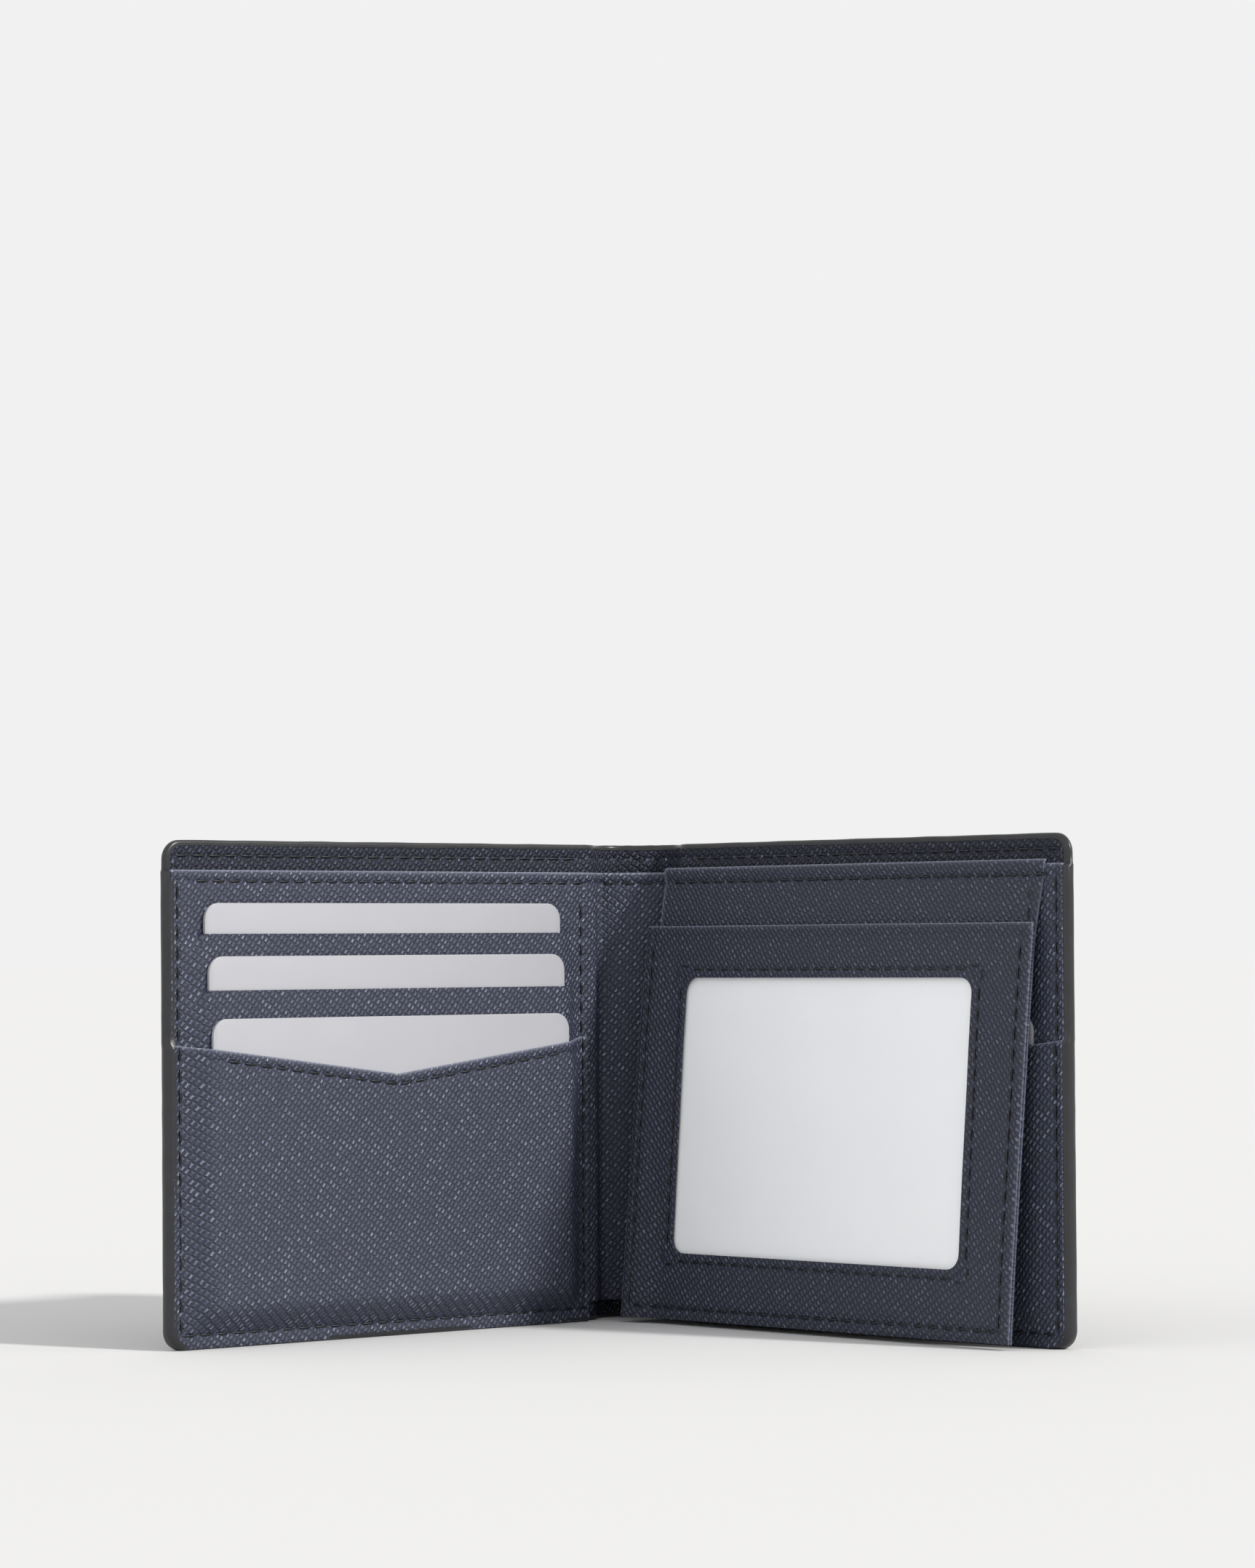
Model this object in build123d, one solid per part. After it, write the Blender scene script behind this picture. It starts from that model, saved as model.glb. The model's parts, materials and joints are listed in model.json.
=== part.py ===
from build123d import *
import math
import os

# A leather billfold standing open on its bottom edges: a spine, two leaves, and on the right leaf a
# flip-up window flap. Z is up, +X to the right leaf, +Y to the back; the origin is the middle of the
# spine's bottom edge. Lengths are in millimetres.

# Payment card, ISO ID-1, which every slot and pocket is cut for
card_width = 85.6
card_height = 53.98
card_thickness = 0.76
card_corner_radius = 3.18

# Overall
leaf_height = 95.0  # bottom edge to top edge of the cover
leaf_length = 102.4  # fold axis to free edge
leaf_corner_radius = 3.5
open_angle = 43.5  # how far each leaf is turned forward from lying flat
fold_half_spacing = 8.4  # middle plane to each fold's axis
fold_level = 1.3  # the fold's axis lies this far inside the lining's face
fold_setback = 0.9  # the leaves' sheets start this far beyond the fold's axis

# Sheet thicknesses
cover_leather = 0.9
stiffener = 0.1
lining_leather = 0.4
paint_thickness = 0.25
divider_fabric = 0.3
bag_fabric = 0.12
panel_leather = 0.45
chevron_leather = 0.5
strip_leather = 0.45
bill_gap = 0.5  # flat, empty banknote compartment
slide_clearance = 0.05  # each side of a card or insert

# Spine
spine_depth = 11.6  # fold axes back to the middle of the cover leather
spine_half_width = 10.0
spine_corner_radius = 7.5
spine_side_setback = 3.7  # the spine's sides begin this far behind the fold axes
strip_gap = 0.3  # between the closed flap's edge and the centre strip
strip_bottom = 3.8

# Inner panel on each leaf
panel_start = 2.4
hem_height = 89.5  # top edge of the inner panel
flange = 3.0  # flat margin of a pocket that is sewn down
chevron_spread = 0.6  # the chevron pocket's margin is this much narrower, to clear the panel under it
slit_width = 0.3  # an empty slit
ramp = 3.0  # sloped side between the margin and the raised middle
ramp_wall = 0.5
seam_rim = 4.0  # width of the rim that closes the banknote compartment
slit_heights = (77.5, 66.9)
slit_overcut = (3.5, 0.9)  # each slit is this much longer than a card, spine side and free side
chevron_end = 57.0
chevron_apex = 50.5
card_start = 9.6  # inner end of a card, from the fold axis
card_tops = (83.3, 73.3, 61.6)
bag_margin = 2.0

# Flap on the right leaf
flap_start = -5.4  # the window pocket's edge, past the fold axis
flap_end = 97.9
flap_bottom = 1.0
flap_tilt = 5.0  # the flap hangs this far off the leaf
flap_axis_height = 86.8
flap_strip_gap = 0.5  # soft leather left free above the flap's axis
flap_hang_gap = 1.0  # and below it
flap_strip_top = 90.3
flap_strip_start = -3.4
flap_strip_end = 99.2
flap_base = 0.4
flap_back = 0.35
film_thickness = 0.15
window_leather = 0.5
insert_thickness = 0.5
flap_slot = 8.3  # mouth of the window pocket below the flap's axis
flap_rim = 4.0
window_side_margins = (11.5, 14.9)  # spine side, free side
window_top = 10.3  # below the pocket's mouth
window_bottom = 13.1
window_corner_radius = 3.0
insert_margin = 2.2  # below the pocket's mouth
insert_side_gap = 0.4
film_lap = 3.0  # film behind the window's edge

# Stitches
stitch_pitch = 3.65
stitch_length = 2.6
stitch_width = 0.45
stitch_height = 0.2
edge_stitch_inset = 1.8
top_stitch_inset = 2.8
bottom_stitch_inset = 2.75
hem_stitch_inset = 2.1
inner_seam_inset = 1.0
chevron_stitch_inset = 2.0
window_stitch_offset = 2.3
flap_stitch_insets = (1.9, 3.8, 2.3)  # spine side, free side, bottom

# Levels above the lining's face, towards the inside of the wallet
wall_thickness = cover_leather + stiffener + lining_leather
outer_face = -wall_thickness
divider_face = bill_gap + divider_fabric
panel_margin_face = divider_face + panel_leather
lift = card_thickness + 2 * slide_clearance  # room that one card takes
top_lift = lift + stitch_height  # the top card also slides over the hem's stitches
left_levels = (
    divider_face,
    divider_face + panel_leather + top_lift,
    divider_face + 2 * panel_leather + top_lift + lift,
)
right_level = divider_face + 2 * bag_fabric
left_chevron_level = left_levels[2] + panel_leather + lift
right_chevron_level = right_level + panel_leather + lift
flap_seam_level = right_level + panel_leather
flap_axis_level = flap_seam_level + flap_base
sheet_bottom = paint_thickness
sheet_top = leaf_height - paint_thickness
panel_end = leaf_length - paint_thickness
panel_middle = (panel_start + panel_end) / 2
slit_start = card_start - slit_overcut[0]
slit_end = card_start + card_width + slit_overcut[1]
strip_setback = strip_gap - flap_start  # centre strip's face behind the fold axes


def depth(level):
    """Y of a level in a leaf's own coordinates, where the leaf lies along +X and faces -Y."""
    return fold_level - level


def plate(u0, u1, z0, z1, t0, t1, corner=0.0):
    """A flat sheet between two levels, with its two far corners rounded."""
    sheet = Box(u1 - u0, t1 - t0, z1 - z0)
    if corner > 0:
        far_edges = sheet.edges().filter_by(Axis.Y).sort_by(Axis.X)[-2:]
        sheet = fillet(far_edges, corner)
    return Pos((u0 + u1) / 2, depth((t0 + t1) / 2), (z0 + z1) / 2) * sheet


def prism(points, t0, t1):
    """An outline in the leaf's own plane, between two levels."""
    plane = Plane((0, depth(t0), 0), x_dir=(1, 0, 0), z_dir=(0, -1, 0))
    return extrude(plane * make_face(Polyline(*points, close=True)), t1 - t0)


def raised_block(u0, u1, z0, z1, t0, t1):
    """A block whose four sides slope in by one ramp between two levels."""
    low = Plane(((u0 + u1) / 2, depth(t0), (z0 + z1) / 2), x_dir=(1, 0, 0), z_dir=(0, -1, 0))
    high = Plane(((u0 + u1) / 2, depth(t1), (z0 + z1) / 2), x_dir=(1, 0, 0), z_dir=(0, -1, 0))
    large = low * Rectangle(u1 - u0, z1 - z0)
    small = high * Rectangle(u1 - u0 - 2 * ramp, z1 - z0 - 2 * ramp)
    return loft([large, small])


def pocket_wall(z0, z1, back, level, thickness, closed_bottom, spread=0.0):
    """A pocket's front: sewn margins on the sheet behind it, sloped sides and a raised middle."""
    wall = plate(panel_start, panel_end, z0, z1, back, back + thickness)
    if level > back:
        margin = flange - spread
        height = z1 - z0
        low = z0 + margin if closed_bottom else z0 - height
        high = 2 * z1 - low
        start = panel_start + margin
        end = panel_end - margin
        outer = raised_block(start, end, low, high, back, level + thickness)
        gap = ramp_wall
        inner = raised_block(start + gap, end - gap, low + gap, high - gap, back - thickness, level)
        wall = (wall + outer) - inner
        wall = wall & plate(panel_start, panel_end, z0, z1, back, level + thickness)
    return wall


def stitch_row(start, end, level, outward=1):
    """Separate stitches along a straight line on a face; outward is -1 on the outside of the leaf."""
    du, dz = end[0] - start[0], end[1] - start[1]
    length = math.hypot(du, dz)
    count = max(1, int(length // stitch_pitch))
    turn = -math.degrees(math.atan2(dz, du))
    stitches = []
    for i in range(count):
        share = (i + 0.5) / count
        u, z = start[0] + du * share, start[1] + dz * share
        y = depth(level + outward * stitch_height / 2)
        stitches.append(Pos(u, y, z) * Rot(0, turn, 0) * Box(stitch_length, stitch_height, stitch_width))
    return stitches


def path_stitches(points, level, outward=1):
    """Stitches along a line of several straight runs."""
    rows = []
    for start, end in zip(points, points[1:]):
        rows += stitch_row(start, end, level, outward)
    return rows


def edge_paint():
    """The painted edge: a top, a free and a bottom band, thick over the pockets and thin above them."""
    start = fold_setback
    outer = plate(start, leaf_length, 0, leaf_height, outer_face, panel_margin_face, leaf_corner_radius)
    inner = plate(
        start - 1,
        leaf_length - paint_thickness,
        sheet_bottom,
        sheet_top,
        outer_face - 1,
        panel_margin_face + 1,
        leaf_corner_radius - paint_thickness,
    )
    above_hem = plate(start - 1, leaf_length + 1, hem_height, leaf_height + 1, 0, panel_margin_face + 1)
    near_fold = plate(start - 1, panel_start, -1, leaf_height + 1, 0, panel_margin_face + 1)
    band = outer - inner - above_hem - near_fold
    split_low = leaf_corner_radius
    split_high = leaf_height - leaf_corner_radius
    reach = leaf_length + 1
    bands = []
    for low, high in ((-1, split_low), (split_low, split_high), (split_high, leaf_height + 1)):
        bands += (band & plate(-reach, reach, low, high, outer_face - 1, panel_margin_face + 1)).solids()
    return bands


def card_panel(levels):
    """The leather card panel: a zone above the first slit, one between the slits and one below them."""
    first, second = slit_heights
    back = levels[0]
    top_zone = plate(panel_start, panel_end, first, hem_height, back, back + panel_leather)
    middle_zone = pocket_wall(second, first, back, levels[1], panel_leather, False)
    low_zone = pocket_wall(sheet_bottom, second, back, levels[2], panel_leather, True)
    return top_zone + middle_zone + low_zone


def flat_card_panel(level):
    """The same panel with nothing in its slits: one flat sheet that is slit twice, on a sewn margin."""
    panel = plate(panel_start, panel_end, sheet_bottom, hem_height, level, level + panel_leather)
    for height in slit_heights:
        low, high = height - slit_width / 2, height + slit_width / 2
        panel -= plate(slit_start, slit_end, low, high, level - 1, level + 1)
    margin = plate(panel_start, panel_end, sheet_bottom, hem_height, divider_face, level)
    hollow = plate(
        panel_start + flange, panel_end - flange, sheet_bottom + flange, hem_height + 1, divider_face, level
    )
    return panel + (margin - hollow)


def chevron_pocket(back, level):
    """The lowest pocket, whose top edge dips to a point in the middle."""
    wall = pocket_wall(sheet_bottom, chevron_end, back, level, chevron_leather, True, chevron_spread)
    outline = [
        (panel_start - 1, sheet_bottom - 1),
        (panel_end + 1, sheet_bottom - 1),
        (panel_end + 1, chevron_end),
        (panel_middle, chevron_apex),
        (panel_start - 1, chevron_end),
    ]
    return wall & prism(outline, back - 1, level + chevron_leather + 1)


def pocket_bag(slit, card_top, level):
    """The fabric back of a slit pocket, from the slit to just below the card."""
    bottom = card_top - card_height - bag_margin
    inset = flange + ramp + ramp_wall
    return plate(panel_start + inset, panel_end - inset, bottom, slit, level, level + bag_fabric)


def divider():
    """The fabric wall of the banknote compartment, with the rim that closes its free end and bottom."""
    start = panel_start
    wall = plate(start, panel_end, sheet_bottom, hem_height, bill_gap, divider_face)
    rim = plate(start, panel_end, sheet_bottom, hem_height, 0, bill_gap)
    hollow = plate(start - 1, panel_end - seam_rim, sheet_bottom + seam_rim, hem_height + 1, -1, bill_gap)
    return wall + (rim - hollow)


def card(top, level):
    """A blank card standing in a pocket."""
    blank = Box(card_width, card_thickness, card_height)
    blank = fillet(blank.edges().filter_by(Axis.Y), card_corner_radius)
    y = depth(level + card_thickness / 2)
    return Pos(card_start + card_width / 2, y, top - card_height / 2) * blank


def leaf(side, levels, chevron_back, chevron_level):
    """One leaf's fixed pieces in its own coordinates, by name."""
    rounded = leaf_corner_radius - paint_thickness
    start, end = fold_setback, panel_end
    low, high = sheet_bottom, sheet_top
    lining_back = -lining_leather
    pieces = {
        "cover": [plate(start, end, low, high, outer_face, outer_face + cover_leather, rounded)],
        "stiffener": [plate(start, end, low, high, outer_face + cover_leather, lining_back, rounded)],
        "lining": [plate(start, end, low, high, lining_back, 0, rounded)],
        "edge_paint": edge_paint(),
    }
    margin_front = chevron_back
    corner_cut = plate(-1, end, low, leaf_height, -1, 30, rounded)
    chevron_margin = chevron_back + chevron_leather
    outer_u = leaf_length - edge_stitch_inset
    top_z = leaf_height - top_stitch_inset
    hem_z = hem_height - hem_stitch_inset
    inner_u = panel_start + inner_seam_inset
    pieces["divider"] = [divider() & corner_cut]
    if levels[2] > levels[0]:
        panel = card_panel(levels)
        bag_levels = (levels[0], levels[1])
    else:
        panel = flat_card_panel(levels[0])
        bag_levels = (divider_face, divider_face + bag_fabric)
    pieces["card_panel"] = [panel & corner_cut]
    pieces["upper_pocket_bag"] = [pocket_bag(slit_heights[0], card_tops[0], bag_levels[0])]
    pieces["lower_pocket_bag"] = [pocket_bag(slit_heights[1], card_tops[1], bag_levels[1])]
    pieces["chevron_pocket"] = [chevron_pocket(chevron_back, chevron_level) & corner_cut]
    pieces["edge_stitching"] = (
        stitch_row((start + stitch_length, top_z), (outer_u, top_z), 0)
        + stitch_row((outer_u, chevron_end), (outer_u, hem_z), margin_front)
        + stitch_row((outer_u, bottom_stitch_inset), (outer_u, chevron_end), chevron_margin)
        + stitch_row((panel_start, bottom_stitch_inset), (outer_u, bottom_stitch_inset), chevron_margin)
        + path_stitches(
            [
                (start + stitch_length, top_z),
                (outer_u, top_z),
                (outer_u, bottom_stitch_inset),
                (start + stitch_length, bottom_stitch_inset),
            ],
            outer_face,
            -1,
        )
    )
    hem_end = outer_u - stitch_pitch
    pieces["hem_stitching"] = stitch_row((panel_start, hem_z), (hem_end, hem_z), margin_front)
    seam_low, seam_high = 2 * bottom_stitch_inset, hem_z - stitch_pitch
    pieces["inner_seam"] = stitch_row((inner_u, chevron_end), (inner_u, seam_high), margin_front)
    pieces["inner_seam"] += stitch_row((inner_u, seam_low), (inner_u, chevron_end), chevron_margin)
    row_start = panel_start + flange + ramp + stitch_pitch
    row_end = panel_end - flange - ramp - stitch_pitch
    slope = (chevron_end - chevron_apex) / (panel_end - panel_middle)
    drop = chevron_stitch_inset
    middle = (panel_middle, chevron_apex - drop)
    reach = panel_middle - row_start
    pieces["chevron_stitching"] = path_stitches(
        [(row_start, middle[1] + slope * reach), middle, (row_end, middle[1] + slope * reach)],
        chevron_level + chevron_leather,
    )
    return {f"{side}_{name}": solids for name, solids in pieces.items()}


def flap_level(layer):
    """Turns a height above the flap's back leather into a level about the flap's axis."""
    return layer - flap_base + fold_level


flap_length = (flap_axis_height - flap_bottom) / math.cos(math.radians(flap_tilt))
insert_face = flap_base + slide_clearance
film_back = insert_face + insert_thickness + slide_clearance
window_back = film_back + film_thickness
window_start = flap_start + window_side_margins[0]
window_end = flap_end - window_side_margins[1]
window_high = -(flap_slot + window_top)
window_low = window_bottom - flap_length
window_height = window_high - window_low


def flap_sheet(u0, u1, z0, z1, s0, s1, corner=0.0):
    """A sheet of the flap: z is measured up from its axis, s out from its base leather's back."""
    return plate(u0, u1, z0, z1, flap_level(s0), flap_level(s1), corner)


def window_hole(grow, s0, s1):
    """A rounded opening, this much larger than the window all round."""
    hole = Box(window_end - window_start + 2 * grow, s1 - s0, window_height + 2 * grow)
    hole = fillet(hole.edges().filter_by(Axis.Y), window_corner_radius + grow)
    middle_u = (window_start + window_end) / 2
    middle_z = (window_low + window_high) / 2
    return Pos(middle_u, depth(flap_level((s0 + s1) / 2)), middle_z) * hole


def flap():
    """The flap's pieces, hanging straight down from its axis at the origin."""
    bottom = -flap_length
    window_front = window_back + window_leather
    window_plate = flap_sheet(flap_start, flap_end, bottom, -flap_slot, window_back, window_front)
    rim = flap_sheet(flap_start, flap_end, bottom, -flap_slot, flap_base, window_back)
    hollow = flap_sheet(
        flap_start + flap_rim,
        flap_end - flap_rim,
        bottom + flap_rim,
        0,
        flap_base,
        window_back,
    )
    window_panel = window_plate + (rim - hollow)
    window_panel -= window_hole(0, window_back - 1, window_front + 1)
    front = flap_level(window_front)
    spine_inset, free_inset, bottom_inset = flap_stitch_insets
    left_u, right_u = flap_start + spine_inset, flap_end - free_inset
    stitch_low = bottom + bottom_inset
    high = window_high + window_stitch_offset
    low = window_low - window_stitch_offset
    left, right = window_start - window_stitch_offset, window_end + window_stitch_offset
    insert_start = flap_start + flap_rim + insert_side_gap
    insert_end = flap_end - flap_rim - insert_side_gap
    insert_low = bottom + flap_rim + insert_side_gap
    insert_high = -(flap_slot + insert_margin)
    insert_front = insert_face + insert_thickness
    return {
        "flap_base_panel": [
            flap_sheet(flap_start, flap_end, bottom, -flap_slot, 0, flap_base)
            + flap_sheet(flap_strip_start, flap_end, -flap_slot, -flap_hang_gap, 0, flap_base)
        ],
        "flap_back_panel": [flap_sheet(flap_start, flap_end, bottom, -flap_slot, -flap_back, 0)],
        "window_panel": [window_panel],
        "window_film": [window_hole(film_lap, film_back, window_back)],
        "window_stitching": path_stitches(
            [(left, low), (right, low), (right, high), (left, high), (left, low)], front
        ),
        "flap_edge_stitching": path_stitches(
            [(left_u, -flap_slot - stitch_pitch), (left_u, stitch_low), (right_u, stitch_low)], front
        )
        + stitch_row((right_u, stitch_low), (right_u, -flap_slot - stitch_pitch), front),
        "id_insert": [
            flap_sheet(insert_start, insert_end, insert_low, insert_high, insert_face, insert_front)
        ],
    }


def flap_seam():
    """The flap's top strip, sewn along the right leaf's hem, with its stitches."""
    low = flap_axis_height + flap_strip_gap
    hem_z = hem_height - hem_stitch_inset
    start, end = flap_strip_start, flap_strip_end
    strip = plate(start, end, low, flap_strip_top, flap_seam_level, flap_seam_level + flap_base)
    stitches = stitch_row((start + stitch_length, hem_z), (end, hem_z), flap_axis_level)
    return {"flap_hinge_strip": [strip], "flap_seam_stitching": stitches}


def spine_outline(inset, front):
    """The spine's U outline from its inside, this far inside the cover's outer face."""
    half = spine_half_width - inset
    back = cover_leather / 2 - inset
    radius = spine_corner_radius - inset
    left = Line((-half, front), (-half, back - radius))
    left_bend = RadiusArc((-half, back - radius), (-half + radius, back), radius)
    middle = Line((-half + radius, back), (half - radius, back))
    right_bend = RadiusArc((half - radius, back), (half, back - radius), radius)
    right = Line((half, back - radius), (half, front))
    mouth = Line((half, front), (-half, front))
    return make_face(left + left_bend + middle + right_bend + right + mouth)


def spine_wall(outer_inset, inner_inset, z0, z1):
    """A U-shaped wall of the spine between two insets."""
    front = spine_side_setback - spine_depth
    face = spine_outline(outer_inset, front) - spine_outline(inner_inset, front - 1)
    return Pos(0, 0, z0) * extrude(face, z1 - z0)


def spine():
    """The spine's pieces: cover, lining, the strip across the inside and the painted edges."""
    strip_face = -spine_depth + strip_setback
    bend_radius = spine_corner_radius - wall_thickness
    bend_centre = cover_leather / 2 - spine_corner_radius
    past_bend = max(0, strip_face + strip_leather - bend_centre)
    strip_half = spine_half_width - spine_corner_radius + math.sqrt(bend_radius**2 - past_bend**2)
    strip = Box(2 * strip_half, strip_leather, hem_height - strip_bottom)
    strip_y = strip_face + strip_leather / 2
    strip = Pos(0, strip_y, (hem_height + strip_bottom) / 2) * strip
    stitch_count = int(2 * strip_half // stitch_pitch)
    stitches = []
    for i in range(stitch_count):
        x = (i + 0.5 - stitch_count / 2) * stitch_pitch
        stitch = Box(stitch_length, stitch_height, stitch_width)
        stitches.append(Pos(x, strip_face - stitch_height / 2, hem_height - hem_stitch_inset) * stitch)
    return {
        "spine_cover": [spine_wall(0, cover_leather + stiffener, sheet_bottom, sheet_top)],
        "spine_lining": [spine_wall(cover_leather + stiffener, wall_thickness, sheet_bottom, sheet_top)],
        "spine_edge_paint": [
            spine_wall(0, wall_thickness, 0, paint_thickness),
            spine_wall(0, wall_thickness, sheet_top, leaf_height),
        ],
        "centre_strip": [strip],
        "centre_hem_stitching": stitches,
    }


def place_right(shape):
    """Moves a piece from the leaf's own coordinates to the right leaf."""
    return Pos(fold_half_spacing, -spine_depth, 0) * Rot(0, 0, -open_angle) * shape


def place_left(shape):
    """Moves a piece to the left leaf, the right leaf's mirror image."""
    return place_right(shape).mirror(Plane.YZ)


def place_flap(shape):
    """Tilts a flap piece about its axis and moves it to the right leaf."""
    shape = Pos(0, 0, flap_axis_height) * Rot(-flap_tilt, 0, 0) * shape
    return place_right(Pos(0, depth(flap_axis_level), 0) * shape)


def write(name, solids):
    """Writes one node's solids to its STEP file."""
    shape = solids[0] if len(solids) == 1 else Compound(children=solids)
    shape.label = name
    export_step(shape, f"parts/{name}.step")


def build():
    """Every node's solids in the wallet's frame."""
    nodes = dict(spine())
    left_chevron_back = divider_face + panel_leather
    right_chevron_back = right_level + panel_leather
    left_pieces = leaf("left", left_levels, left_chevron_back, left_chevron_level)
    right_levels = (right_level, right_level, right_level)
    right_pieces = leaf("right", right_levels, right_chevron_back, right_chevron_level)
    del right_pieces["right_hem_stitching"]  # the flap's seam takes its place
    right_pieces.update(flap_seam())
    card_levels = [level + panel_leather + slide_clearance for level in left_levels]
    card_levels[0] += stitch_height
    names = ("left_top_card", "left_middle_card", "left_bottom_card")
    for name, top, level in zip(names, card_tops, card_levels):
        left_pieces[name] = [card(top, level)]
    right_pieces["right_bottom_card"] = [card(card_tops[2], right_chevron_back + slide_clearance)]
    for name, solids in left_pieces.items():
        nodes[name] = [place_left(solid) for solid in solids]
    for name, solids in right_pieces.items():
        nodes[name] = [place_right(solid) for solid in solids]
    for name, solids in flap().items():
        nodes[name] = [place_flap(solid) for solid in solids]
    return nodes


os.makedirs("parts", exist_ok=True)
for node, node_solids in build().items():
    write(node, node_solids)
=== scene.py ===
import bpy
import bmesh
import json
import math
from mathutils import Matrix, Vector, noise


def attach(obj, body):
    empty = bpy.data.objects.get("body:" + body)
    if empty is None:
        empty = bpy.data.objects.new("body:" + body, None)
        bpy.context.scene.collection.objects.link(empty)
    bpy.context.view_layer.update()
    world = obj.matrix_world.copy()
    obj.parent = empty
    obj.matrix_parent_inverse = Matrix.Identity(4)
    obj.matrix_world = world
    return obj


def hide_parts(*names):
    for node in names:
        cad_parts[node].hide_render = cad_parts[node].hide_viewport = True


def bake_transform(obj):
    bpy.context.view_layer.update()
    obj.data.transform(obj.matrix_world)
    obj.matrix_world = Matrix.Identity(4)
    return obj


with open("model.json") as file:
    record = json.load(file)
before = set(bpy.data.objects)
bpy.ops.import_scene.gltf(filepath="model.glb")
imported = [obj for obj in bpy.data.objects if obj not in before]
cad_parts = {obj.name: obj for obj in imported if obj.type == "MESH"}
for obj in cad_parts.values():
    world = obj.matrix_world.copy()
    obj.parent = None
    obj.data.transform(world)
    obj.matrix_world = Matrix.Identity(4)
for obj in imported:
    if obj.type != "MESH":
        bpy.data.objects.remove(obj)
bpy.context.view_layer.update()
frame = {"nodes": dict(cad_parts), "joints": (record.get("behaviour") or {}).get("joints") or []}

# Leather billfold standing open: cross-grain coated leather, painted edges, blank cards, a window flap.
# Pieces are laid out flat in millimetres, u from the fold to the free edge and z up, then shaped,
# thickened, and carried to the leaf, the flap or round the spine.

mm = 0.001
near = 0.01  # closer than this counts as touching, in millimetres
grainUnit = 100  # millimetres in one unit of the grain's UV map
nodes = frame["nodes"]
joints = {joint["name"]: joint for joint in frame["joints"]}


# places taken from the frame

alongLeaf = -Vector(joints["flap_hinge"]["axis"]).normalized()
openAngle = math.atan2(-alongLeaf.y, alongLeaf.x)
foldAt = Vector(joints["right_fold"]["pos_m"]) / mm
foldAt.z = 0
rightLeaf = Matrix.Translation(foldAt) @ Matrix.Rotation(-openAngle, 4, "Z")
mirror = Matrix.Scale(-1, 4, (1, 0, 0))
leftLeaf = mirror @ rightLeaf
leafMatrix = {"right": rightLeaf, "left": leftLeaf}
halfMatrix = {"right": Matrix.Identity(4), "left": mirror}

flapAxis = rightLeaf.inverted() @ (Vector(joints["flap_hinge"]["pos_m"]) / mm)
flapAxis.x = 0
flapTilt = math.acos(Vector(joints["id_insert_slide"]["axis"]).normalized().z)
flapMatrix = rightLeaf @ Matrix.Translation(flapAxis) @ Matrix.Rotation(-flapTilt, 4, "X")


def span(node, matrix=None):  # lowest and highest corner of a CAD node in a leaf's or the flap's own millimetres
    back = (matrix or Matrix.Identity(4)).inverted()
    spots = [back @ (vertex.co / mm) for vertex in nodes[node].data.vertices]
    low = Vector([min(spot[i] for spot in spots) for i in range(3)])
    high = Vector([max(spot[i] for spot in spots) for i in range(3)])
    return low, high


def smooth(value, low, high):  # 0 at low, 1 at high, eased
    share = min(1, max(0, (value - low) / (high - low)))
    return share * share * (3 - 2 * share)


def hill(distance, width):  # 1 on a line, falling away on both sides of it
    return math.exp(-(distance / width) ** 2)


# working tools

def deselectAll():
    bpy.ops.object.select_all(action="DESELECT")


def activate(piece):
    deselectAll()
    piece.select_set(True)
    bpy.context.view_layer.objects.active = piece


def named(name):
    piece = bpy.context.object
    piece.name = name
    piece.data.name = name
    return piece


def settle(piece):
    activate(piece)
    bpy.ops.object.transform_apply(location=True, rotation=True, scale=True)


def layOut(name, u0, u1, z0, z1, cell):  # a flat sheet facing the front, in cells of about this size
    deselectAll()
    bpy.ops.mesh.primitive_grid_add(
        x_subdivisions=max(2, round((u1 - u0) / cell)),
        y_subdivisions=max(2, round((z1 - z0) / cell)),
        size=1,
        location=((u0 + u1) / 2, 0, (z0 + z1) / 2),
        rotation=(math.pi / 2, 0, 0),
    )
    sheet = named(name)
    sheet.scale = (u1 - u0, z1 - z0, 1)
    settle(sheet)
    return sheet


def block(name, low, high):
    deselectAll()
    bpy.ops.mesh.primitive_cube_add(size=1, location=(Vector(low) + Vector(high)) / 2)
    piece = named(name)
    piece.scale = Vector(high) - Vector(low)
    settle(piece)
    return piece


def score(piece, axis, places):  # adds a line of edges across the piece at each place
    normal = [0, 0, 0]
    normal[axis] = 1
    activate(piece)
    bpy.ops.object.mode_set(mode="EDIT")
    for place in places:
        spot = [0, 0, 0]
        spot[axis] = place
        bpy.ops.mesh.select_all(action="SELECT")
        bpy.ops.mesh.bisect(plane_co=spot, plane_no=normal)
    bpy.ops.object.mode_set(mode="OBJECT")


def startPick(piece, kind):
    activate(piece)
    bpy.ops.object.mode_set(mode="EDIT")
    bpy.ops.mesh.select_mode(type=kind)
    bpy.ops.mesh.select_all(action="DESELECT")
    return bmesh.from_edit_mesh(piece.data)


def pickEdges(piece, test):
    for edge in startPick(piece, "EDGE").edges:
        if test(edge.verts[0].co, edge.verts[1].co):
            edge.select = True
    bmesh.update_edit_mesh(piece.data)


def pickFaces(piece, test):
    for face in startPick(piece, "FACE").faces:
        if test(face.calc_center_median(), face.normal):
            face.select = True
    bmesh.update_edit_mesh(piece.data)


def endPick():
    bpy.ops.object.mode_set(mode="OBJECT")


def slit(piece, z, u0, u1):  # opens the sheet along a level line
    pickEdges(piece, lambda a, b: abs(a.z - z) < near and abs(b.z - z) < near
              and min(a.x, b.x) > u0 - near and max(a.x, b.x) < u1 + near)
    bpy.ops.mesh.edge_split(type="EDGE")
    endPick()


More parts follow.
